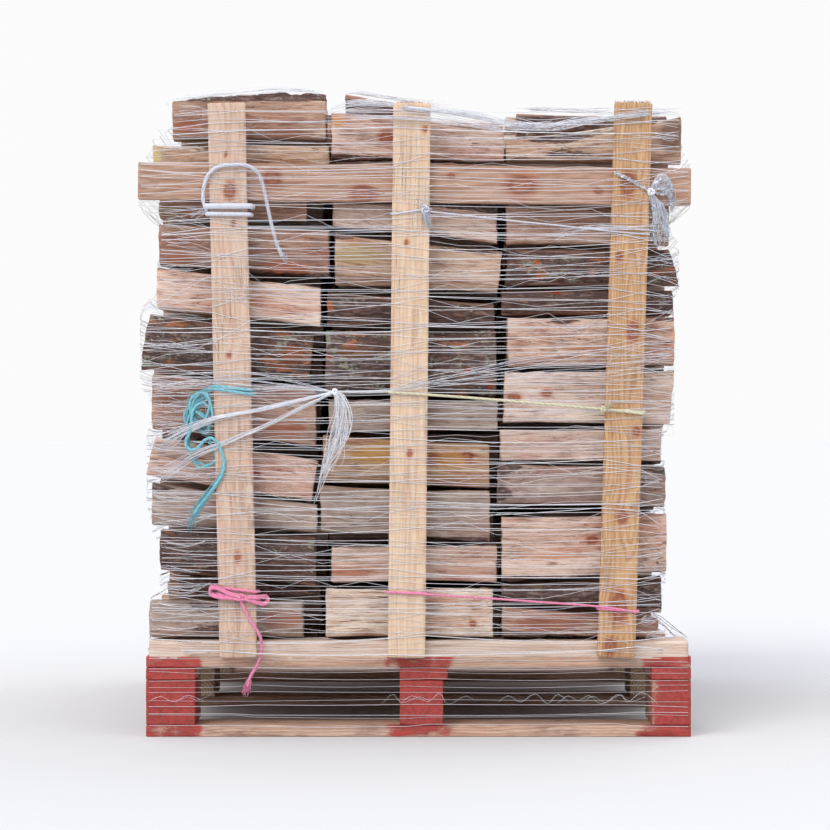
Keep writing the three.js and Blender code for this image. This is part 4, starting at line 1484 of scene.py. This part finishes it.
def net_supports(z):
    """The points that a level thread round the stack bends over at height z, starting at the back left."""
    left, right = np.interp(z, LEVELS, STACK_LEFT), np.interp(z, LEVELS, STACK_RIGHT)
    proud = 0.6 * MM + NET_THREAD
    on_pallet = z < BATTEN_FOOT + 2 * MM
    face = (FRONT_Y if on_pallet or RAIL_LOW < z < RAIL_HIGH else LOG_FACE) - proud
    bends = {}
    for side, battens in BATTENS.items():
        bends[side] = OVER_BLOCKS if on_pallet else [x for batten in battens for x in batten_edges(batten, z)]
    bend_y = face if on_pallet else BATTEN_FACE - proud
    near, far = 0.94 * face, -0.94 * face
    supports = [(left, far), (left, 0.0), (left, near), (left + 8 * MM, face)]
    supports += [(x, bend_y) for x in bends["front"]]
    supports += [(right - 8 * MM, face), (right, near), (right, 0.0), (right, far), (right - 8 * MM, -face)]
    supports += [(x, -bend_y) for x in bends["back"][::-1]]
    return np.array(supports + [(left + 8 * MM, -face)])


def net_thread(z, slant, random, step=55 * MM):
    """A closed thread round the stack: straight from support to support, each at its own height."""
    heights = z + random.normal(0, slant, len(net_supports(z)))
    heights[SIDE_MIDDLES] = z
    heights = 0.6 * heights + 0.2 * (np.roll(heights, 1) + np.roll(heights, -1))
    corners = np.array([[*net_supports(height)[i], height] for i, height in enumerate(heights)])
    made = []
    for a, b in zip(corners, np.roll(corners, -1, 0)):
        gap = np.linalg.norm(b - a)
        count = max(1, int(gap / step))
        share = np.arange(count)[:, None] / count
        run = a + (b - a) * share
        run[:, 2] -= np.sin(share[:, 0] * math.pi) * gap * random.uniform(0.0, 0.012)
        made.append(run)
    return np.concatenate(made)


def add_net():
    """Level threads wound round everything, finer crossing ones, and a few low ones across the pallet."""
    random = np.random.default_rng(23)
    threads, cross = Batch(), Batch()
    z = NET_LOW
    while z < NET_HIGH:
        slant = (15 if 0.66 < z < 0.92 else 7) * MM
        if random.random() < 0.12:
            slant *= 2.2
        thick = NET_THREAD * random.choice([0.7, 0.85, 1.0, 1.35], p=[0.3, 0.35, 0.25, 0.1])
        add_tube(threads, net_thread(z, slant, random), thick, 3, closed=True)
        z += random.uniform(3, 12) * MM
    for z in PALLET_THREADS:
        line = net_thread(z * MM, 4 * MM, random)
        add_tube(threads, line, NET_THREAD * random.uniform(0.4, 0.8), 3, closed=True)
    place(threads.build("net_threads", NET_PLASTIC), "white_net", "net_wrap")

    for z in np.arange(0.17, 1.13, 0.03):
        path = net_thread(z, 12 * MM, random, step=random.uniform(34, 60) * MM)
        path[:, 2] += random.normal(0, 7, len(path)) * MM
        add_tube(cross, path, NET_THREAD * 0.55, 3, closed=True)
    place(cross.build("net_cross_threads", NET_PLASTIC), "white_net")


NET_KNOT = (-152.6, -627, 632.5)


def add_net_knot():
    """The knot that gathers the net, its tassel, the bundles that pull on it and the threads that fan out."""
    random = np.random.default_rng(31)
    batch = Batch()
    knot = at(*NET_KNOT)
    for turns, size in (((2, 3), (11, 9, 10)), ((3, 2), (9, 10, 12)), ((2, 5), (10, 8, 9))):
        add_tube(batch, lump_path(knot, size, turns), 1.3 * MM, 5, closed=True)
    tassel = route([NET_KNOT, (-139, -630, 622), (-132, -630, 596), (-136, -629, 566), (-146, -628, 536),
                    (-160, -627, 508), (-172, -626, 480), (-183, -625, 452), (-191, -625, 434)])
    strands(batch, tassel, 26, (2, 6, 9, 11, 12, 12, 10, 8, 8), random, 0.62 * MM, loose=(0, 0.4))
    inner = route([NET_KNOT, (-150, -629, 616), (-150, -629, 586), (-153, -629, 560), (-160, -628, 530),
                   (-166, -627, 505), (-176, -626, 470)])
    strands(batch, inner, 16, (2, 5, 8, 10, 10, 9, 8), random, 0.6 * MM, loose=(0, 0.4))
    upper = route([NET_KNOT, (-220, -627.5, 617), (-286, -627.5, 601), (-330, -627.5, 593), (-374, -627, 583),
                   (-423, -617, 562), (-452, -606, 549), (-486, -588, 538)])
    strands(batch, upper, 28, (1.2, 2.2, 2.4, 2.6, 3, 4, 8, 13), random, 0.55 * MM, loose=(0, 0.12))
    lower = route([NET_KNOT, (-220, -627.5, 600), (-286, -627.5, 567), (-322, -627.5, 553), (-359, -627, 537),
                   (-418, -616, 513), (-463, -600, 481), (-490, -586, 468)])
    strands(batch, lower, 14, (1.2, 2.5, 3, 3.5, 4, 5, 8, 12), random, 0.5 * MM, loose=(0, 0.15))
    for x, z, count, wide in ((-306, 664, 4, 12), (-306, 650, 6, 10), (-310, 640, 5, 8), (-308, 628, 4, 8)):
        fan = route([NET_KNOT, ((x - 152) / 2, -626.5, (z + 632) / 2 + 3), (x, -626, z), (-374, -625, z + 5),
                     (-440, -604, z + 6), (-492, -584, z + 4)])
        strands(batch, fan, count, (1, 4, wide * 0.7, wide, wide * 1.2, wide * 1.4), random, 0.42 * MM)
    for x, z, count in ((160, 660, 3), (200, 690, 3), (250, 676, 2), (300, 700, 2), (340, 668, 2)):
        fan = route([NET_KNOT, (-52, -625.5, 634), (20, -625.5, 632 + (z - 632) * 0.35), (x, -624.5, z),
                     (410, -625, z + 12), (470, -600, z + 14)])
        strands(batch, fan, count, (1, 3, 5, 9, 9, 9), random, 0.42 * MM)
    place(batch.build("net_knot_and_tassel", NET_PLASTIC), "white_net")


TOP_BUNCHES = [  # route of the threads bunched along the top, how many, and how far they spread along it
    ([(-458, -574, 1140), (-452, -573, 1168), (-400, -572, 1176), (-320, -572, 1184), (-240, -572, 1188),
      (-174, -573, 1178), (-168, -577, 1150)], 9, (6, 5, 5, 5, 5, 5, 8)),
    ([(-166, -578, 1150), (-134, -579, 1160), (-60, -600, 1160), (-16, -626, 1150), (22, -626, 1146),
      (90, -600, 1140), (150, -580, 1130), (190, -582, 1120)], 26, (7, 9, 6, 4, 4, 6, 7, 9)),
    ([(140, -580, 1128), (180, -582, 1124), (230, -584, 1120), (290, -596, 1128), (350, -622, 1134),
      (412, -624, 1140), (480, -582, 1146)], 24, (9, 7, 7, 6, 5, 4, 5)),
    ([(-140, -452, 1202), (-100, -452, 1196), (-50, -452, 1190), (4, -452, 1180), (60, -470, 1168)], 14,
     (5, 5, 5, 5, 9)),
    ([(186, -452, 1166), (240, -452, 1166), (300, -452, 1164), (380, -452, 1162)], 12, (5, 4, 5, 6)),
    ([(250, -600, 920), (300, -620, 930), (345, -625, 932), (412, -625, 930), (455, -600, 928)], 12,
     (7, 4, 3, 3, 7)),
    ([(-170, -584, 1140), (-60, -626, 1134), (20, -626, 1130), (150, -590, 1116), (260, -584, 1118)], 10,
     (8, 5, 5, 9, 9)),
]
# Frays at the sides: height, how many threads and how far they spread.
LEFT_FRAYS = [
    (1150, 4, 16), (1085, 3, 10), (968, 4, 14), (940, 7, 26), (905, 6, 22), (860, 4, 14), (778, 5, 14),
    (720, 4, 22), (648, 6, 16), (604, 7, 22), (570, 8, 24), (530, 8, 24), (490, 8, 22), (440, 5, 18),
    (394, 5, 16), (350, 5, 18), (300, 7, 20), (272, 7, 18), (240, 4, 12), (200, 3, 10),
]
RIGHT_FRAYS = [
    (1100, 4, 16), (1010, 5, 18), (960, 8, 28), (925, 8, 24), (880, 4, 18), (800, 4, 18), (700, 4, 16),
    (560, 4, 14), (470, 4, 14), (330, 3, 12), (210, 8, 20), (190, 7, 14),
]
LEFT_STEPS = [(12, -540, 4), (16, -574, 2), (28, -590, 0), (60, -600, -2)]
RIGHT_STEPS = [(-8, -540, 4), (-12, -574, 2), (-20, -590, 0), (-40, -600, 0)]
PALLET_WAVES = [  # loose threads across the pallet: start, points and height of the wave
    (-490, 5, 5), (-452, 4, 6), (-70, 5, 7), (-30, 7, 8), (140, 7, 6), (250, 9, 8), (300, 6, 5),
]


def side_frays(batch, frays, reach, steps, batten_x, stray, random):
    """Torn threads from a side of the stack to the nearest batten.

    steps are where they start: x and z from the stack's edge at their height, and y."""
    for z, count, wide in frays:
        edge = np.interp(z * MM, LEVELS, reach) / MM - MIDDLE_X / MM
        points = [(edge + dx, y, z + dz) for dx, y, dz in steps]
        side = route(points + [(batten_x, -622, z + random.uniform(-stray, stray))])
        spread = [wide * share for share in (0.6, 0.7, 0.8, 0.7, 0.3)]
        strands(batch, side, count, spread, random, 0.38 * MM, flat=0.25, narrow=0.3, wavy=0.2,
                loose=(0.4, 0.3))


def add_net_frays():
    """Bunched threads along the top edges, torn ones at the stack's sides and wavy ones across the pallet."""
    random = np.random.default_rng(47)
    batch = Batch()
    for points, count, spread in TOP_BUNCHES:
        strands(batch, route(points), count, spread, random, 0.45 * MM, loose=(0.2, 0.2))
    side_frays(batch, LEFT_FRAYS, STACK_LEFT, LEFT_STEPS, -380, 16, random)
    side_frays(batch, RIGHT_FRAYS, STACK_RIGHT, RIGHT_STEPS, 416, 12, random)
    for x, turns, high in PALLET_WAVES:
        wave = [(x + 23 * i + random.uniform(-8, 8), -603,
                 70 + (high if i % 2 else -high) + random.uniform(-4, 4)) for i in range(turns)]
        strands(batch, route(wave), 1, (1, 1), random, 0.26 * MM)
    place(batch.build("net_frays", NET_PLASTIC), "white_net")


add_net()
add_net_knot()
add_net_frays()


# ---------------------------------------------------------------- ties round the battens

def band_round(batch, column, z_left, z_right, radius, sides=10, lobes=2, lift=0.0):
    """A closed turn of twine round a front batten, with its own heights at the left and right edges."""
    middle = (z_left + z_right) / 2
    x0, x1 = batten_edges(BATTENS["front"][THIRDS.index(column)], middle * MM)
    front, back = BATTEN_FACE - radius - lift, FRONT_Y + radius
    corners = np.array([
        (x0 - radius, back, z_left), (x0 - radius, front + 3 * MM, z_left), (x0 + 3 * MM, front, z_left),
        ((x0 + x1) / 2, front - 0.4 * MM, middle), (x1 - 3 * MM, front, z_right),
        (x1 + radius, front + 3 * MM, z_right), (x1 + radius, back, z_right),
        ((x0 + x1) / 2, back + 1 * MM, z_left),
    ])
    corners[:, 2] *= MM
    path = smooth_path(np.vstack([corners, corners[:1]]), 2.5 * MM)[:-1]
    add_tube(batch, path, radius, sides, closed=True, lobes=lobes, twist=lay_twist(12 * MM, lobes))


def frayed(batch, points, count, spread, random, radius=0.5 * MM):
    strands(batch, route(points), count, spread, random, radius, flat=0.5, loose=(0, 0.35))


def loop_of_twine(batch, points, radius):
    add_tube(batch, smooth_path(route(points), 2.5 * MM), radius, 8, lobes=2, twist=lay_twist(13 * MM, 2))


def lump(batch, centre, size, radius, sides):
    add_tube(batch, lump_path(at(*centre), size), radius, sides, closed=True)


def add_grey_turns(random):
    """The rope's turns and ends on the left batten, and the thin line's knot on the middle one."""
    grey = Batch()
    band_round(grey, "left", 971, 971, 5.3 * MM, lobes=0)
    band_round(grey, "left", 957, 956, 3.9 * MM, lobes=0)
    frayed(grey, [(-255, -601, 893), (-250, -600, 884), (-245, -600, 874)], 26, (3.2, 4.5, 6), random)
    frayed(grey, [(-384, -621, 962), (-396, -616, 960), (-412, -606, 955)], 10, (3, 5, 9), random)
    band_round(grey, "middle", 957, 966, 1.7 * MM, 8)
    lump(grey, (12, -628, 965), (13, 10, 15), 1.9 * MM, 6)
    frayed(grey, [(12, -629, 962), (15, -629, 948), (19, -628, 934)], 34, (4, 7, 6), random)
    frayed(grey, [(12, -629, 966), (7, -629, 976), (4, -628, 982)], 12, (4, 5, 5), random)
    place(grey.build("grey_rope_turns", TWINE_FINISH["grey_rope"]), "grey_rope")


TEAL_LOOPS = [
    [(-377, -620, 641), (-397, -616, 627), (-413, -612, 608), (-422, -609, 586), (-424, -608, 560),
     (-421, -608, 538), (-415, -609, 517), (-402, -611, 499), (-384, -614, 495), (-373, -616, 508),
     (-374, -618, 527), (-384, -620, 541)],
    [(-379, -621, 634), (-399, -619, 631), (-416, -616, 612), (-411, -615, 581), (-393, -617, 572),
     (-382, -619, 590), (-380, -621, 613), (-388, -622, 629)],
    [(-383, -616, 627), (-404, -613, 613), (-409, -611, 590), (-400, -611, 563), (-386, -613, 556),
     (-383, -615, 572), (-392, -617, 590), (-404, -618, 598)],
]


def add_teal_tangle(random):
    """Two turns, a tangle of loops and the frayed tail of the teal twine."""
    teal = Batch()
    band_round(teal, "left", 642.5, 635.5, 2.9 * MM)
    band_round(teal, "left", 637.5, 628.5, 2.9 * MM, lift=0.5 * MM)
    for loop in TEAL_LOOPS * 2:
        moved = np.array(loop) + random.normal(0, 1, (len(loop), 3)) * (3.2, 1.5, 3.2)
        loop_of_twine(teal, moved, 2.5 * MM)
        frayed(teal, loop, 5, [6] * 6, random, 0.4 * MM)
    frayed(teal, [(-355, -627, 500), (-359, -627, 480), (-372, -626, 460), (-388, -621, 440),
                  (-405, -614, 416), (-411, -612, 404), (-417, -609, 386)], 46, (2, 3, 4, 5, 6, 7), random,
           0.6 * MM)
    place(teal.build("teal_twine_tangle", TWINE_FINISH["teal_twine"]), "teal_twine")


PINK_LOOPS = [
    [(-322, -628.5, 260), (-345, -629, 266), (-368, -627, 277), (-379, -624, 276), (-380, -622, 266),
     (-368, -626, 261), (-344, -629.5, 259), (-322, -629, 256)],
    [(-318, -629, 258), (-306, -629, 254), (-294, -626, 250), (-284, -621, 247), (-277, -617, 249),
     (-274, -614, 255), (-280, -616, 260), (-292, -625, 259), (-310, -629, 260)],
]


def add_pink_bow(random):
    """The pink twine's turns and bow on the left batten, and the pink line's turns on the other two."""
    pink = Batch()
    band_round(pink, "left", 275, 267.5, 2.8 * MM)
    band_round(pink, "left", 263, 258, 2.6 * MM, lift=0.4 * MM)
    for loop in PINK_LOOPS:
        for drop in (0, 3.4):
            loop_of_twine(pink, np.array(loop) - (0, 0.6 * drop, drop), 2.7 * MM)
        frayed(pink, loop, 8, [4] * 4, random, 0.4 * MM)
    lump(pink, (-322, -630, 257), (12, 9, 12), 2.2 * MM, 7)
    frayed(pink, [(-309, -610, 108), (-312, -609, 98), (-314, -609, 90), (-316, -608, 82)], 44,
           (2, 4, 5, 6), random, 0.6 * MM)
    band_round(pink, "middle", 267, 265, 2 * MM)
    band_round(pink, "right", 236, 232, 2 * MM)
    place(pink.build("pink_twine_bow", TWINE_FINISH["pink_twine"]), "pink_twine")


def add_yellow_knot(random):
    """The yellow twine's turns on the middle and right battens, and its knot."""
    yellow = Batch()
    band_round(yellow, "middle", 631, 628, 2.2 * MM)
    band_round(yellow, "right", 600, 596, 2.2 * MM)
    lump(yellow, (337, -629, 601), (10, 8, 9), 1.7 * MM, 6)
    frayed(yellow, [(337, -629, 602), (345, -629, 608), (350, -628, 616)], 14, (3, 5, 7), random)
    frayed(yellow, [(337, -629, 600), (330, -628, 592), (322, -627, 588)], 8, (3, 4, 6), random)
    place(yellow.build("yellow_twine_knot", TWINE_FINISH["yellow_twine"]), "yellow_twine")


def add_ties():
    random = np.random.default_rng(59)
    for add in (add_grey_turns, add_teal_tangle, add_pink_bow, add_yellow_knot):
        add(random)


RIBBONS = [  # route of each ribbon of film, and half its width along it before it is drawn in
    ([(357, -625, 1033), (378, -626, 1023), (400, -627, 1011), (421, -628, 999)], (5.5, 5, 4.5, 3.5)),
    ([(424, -627, 998), (432, -626, 1014), (442, -622, 1024), (454, -615, 1020), (458, -611, 1004),
      (448, -616, 994), (430, -624, 996)], (3, 7, 9, 10, 9, 6, 3)),
    ([(425, -626, 996), (436, -621, 980), (446, -615, 962), (452, -611, 938), (458, -607, 915)],
     (3, 8, 13, 11, 5)),
    ([(423, -627, 996), (428, -624, 974), (432, -620, 950), (430, -618, 925), (434, -615, 900)],
     (3, 6, 8, 6, 3)),
    ([(427, -627, 998), (440, -623, 1004), (452, -616, 1000), (462, -609, 984), (464, -606, 962)],
     (3, 6, 8, 7, 4)),
]
RIBBON_LANES = np.linspace(-1, 1, 7)


def add_ribbon(batch, points, wide):
    """A crumpled ribbon of film along a route, closed all round."""
    path = smooth_path(route(points), 3 * MM)
    share = np.linspace(0, 1, len(path))
    half = np.interp(share, np.linspace(0, 1, len(wide)), wide) * 0.6 * MM
    half = half * (0.8 + 0.4 * noise(np.column_stack([share * 9, share * 0, share * 0]), len(points)))
    tangent = np.gradient(path, axis=0)
    tangent /= np.linalg.norm(tangent, axis=1, keepdims=True)
    across = np.cross(tangent, (0, 1, 0))
    across /= np.linalg.norm(across, axis=1, keepdims=True)
    across += np.array([0, 0.5, 0]) * np.sin(share * 9)[:, None]
    crumple = noise(np.stack(np.broadcast_arrays(share[:, None] * 14, RIBBON_LANES * 2.0, 0.0), -1), 5)
    sheet = path[:, None] + across[:, None] * (half[:, None] * RIBBON_LANES)[..., None]
    sheet[..., 1] += (crumple - 0.5) * 7 * MM
    thick = np.array([0, 0.35 * MM, 0])
    ring = np.concatenate([sheet - thick, (sheet + thick)[:, ::-1]], 1)
    count = ring.shape[1]
    j = np.arange(count // 2 - 1)
    cap = np.stack([j, j + 1, count - 2 - j, count - 1 - j], -1)
    faces = np.vstack([bar_faces(len(path), count), cap[:, ::-1], cap + (len(path) - 1) * count])
    batch.add(ring.reshape(-1, 3), faces, np.zeros((0, 3), int))


def add_film():
    """A torn strip of plastic film tied at the right batten, with its loops and shreds."""
    random = np.random.default_rng(67)
    film = Batch()
    for points, wide in RIBBONS:
        add_ribbon(film, points, wide)
    place(film.build("milky_film_strip", FILM), "white_net")
    shreds = Batch()
    lump(shreds, (424, -629, 997), (12, 9, 12), 1.8 * MM, 6)
    strands(shreds, route([(424, -627, 996), (436, -620, 966), (440, -616, 930), (437, -612, 896)]), 22,
            (3, 12, 15, 12), random, 0.45 * MM, loose=(0, 0.5))
    strands(shreds, route([(424, -627, 998), (446, -618, 1016), (462, -607, 1000), (466, -603, 970)]), 12,
            (3, 8, 8, 10), random, 0.45 * MM, loose=(0, 0.3))
    place(shreds.build("milky_film_shreds", NET_PLASTIC), "white_net")


def add_splinters():
    """Torn fibres on the sawn tops of the front battens."""
    random = np.random.default_rng(71)
    for column, (_, _, head_low, head_high, _, top) in zip(THIRDS, BATTENS["front"]):
        batch = Batch()
        for _ in range(60):
            x = random.uniform(head_low + 2 * MM, head_high - 2 * MM)
            y = random.uniform(BATTEN_FACE + 1 * MM, BATTEN_FACE + 20 * MM)
            tall = random.uniform(1, 5) * MM
            lean = random.normal(0, 1.6, 2) * MM
            tip = (x + lean[0], y + lean[1], top + tall)
            line = np.array([(x, y, top - 6 * MM), (x, y, top - 1 * MM), tip])
            add_tube(batch, line, np.array([0.7, 0.6, 0.15]) * MM, 4)
        place(batch.build(f"batten_front_{column}_splinters", BATTEN_WOOD[column]), BATTEN_SLOT[column])


add_ties()
add_film()
add_splinters()


# ---------------------------------------------------------------- light and floor

FLOOR_RADIUS = 60
FLOOR_SIDES = 64
FLOOR_GREY = (0.62, 0.62, 0.62, 1)
BACKDROP = (0.97, 0.97, 0.97, 1)
SKY_TINT = (0.93, 0.95, 1.03, 1)
SKY_LOW, SKY_HIGH = 0.5, 1.45  # the sky's strength at the horizon and overhead


def add_floor():
    mesh = bpy.data.meshes.new("floor")
    turns = [2 * math.pi * i / FLOOR_SIDES for i in range(FLOOR_SIDES)]
    rim = [(FLOOR_RADIUS * math.cos(turn), FLOOR_RADIUS * math.sin(turn), 0) for turn in turns]
    mesh.from_pydata(rim, [], [range(FLOOR_SIDES)])
    floor = bpy.data.objects.new("floor", mesh)
    bpy.context.collection.objects.link(floor)
    material, _, shader = new_material("pale_floor", 0.95, Specular_IOR_Level=0.0)
    shader["Base Color"].default_value = FLOOR_GREY
    mesh.materials.append(material)


def add_sun(name, direction, strength, spread, colour):
    """Light from far off, coming along direction, from a patch of sky spread degrees wide."""
    data = bpy.data.lights.new(name, "SUN")
    data.energy = strength
    data.angle = math.radians(spread)
    data.color = colour
    sun = bpy.data.objects.new(name, data)
    sun.rotation_euler = Vector(direction).to_track_quat("-Z", "Y").to_euler()
    bpy.context.collection.objects.link(sun)


def light_scene():
    """A white studio, brighter overhead, whose backdrop shows an even white."""
    world = bpy.data.worlds.new("white studio")
    world.use_nodes = True
    t = Tree(world.node_tree)
    _, _, up = t.parts(t.place_in("Generated"))
    strength = t.ramp(up, -0.05, 1.0, SKY_LOW, SKY_HIGH)
    lit = t.output(world.node_tree.nodes["Background"], Color=SKY_TINT, Strength=strength)
    shown = t.output(t.node("ShaderNodeBackground"), Color=BACKDROP)
    seen = t.output(t.node("ShaderNodeLightPath"), "Is Camera Ray")
    both = t.output(t.node("ShaderNodeMixShader"), in_0=seen, in_1=lit, in_2=shown)
    t.feed(both, world.node_tree.nodes["World Output"].inputs["Surface"])
    bpy.context.scene.world = world
    add_sun("key", (0.45, 0.75, -0.85), strength=1.5, spread=35, colour=(1.0, 0.97, 0.93))
    add_sun("rear", (-0.4, -0.8, -0.9), strength=0.5, spread=50, colour=(0.95, 0.97, 1.0))
    bpy.context.scene.view_settings.view_transform = "Standard"


add_floor()
light_scene()
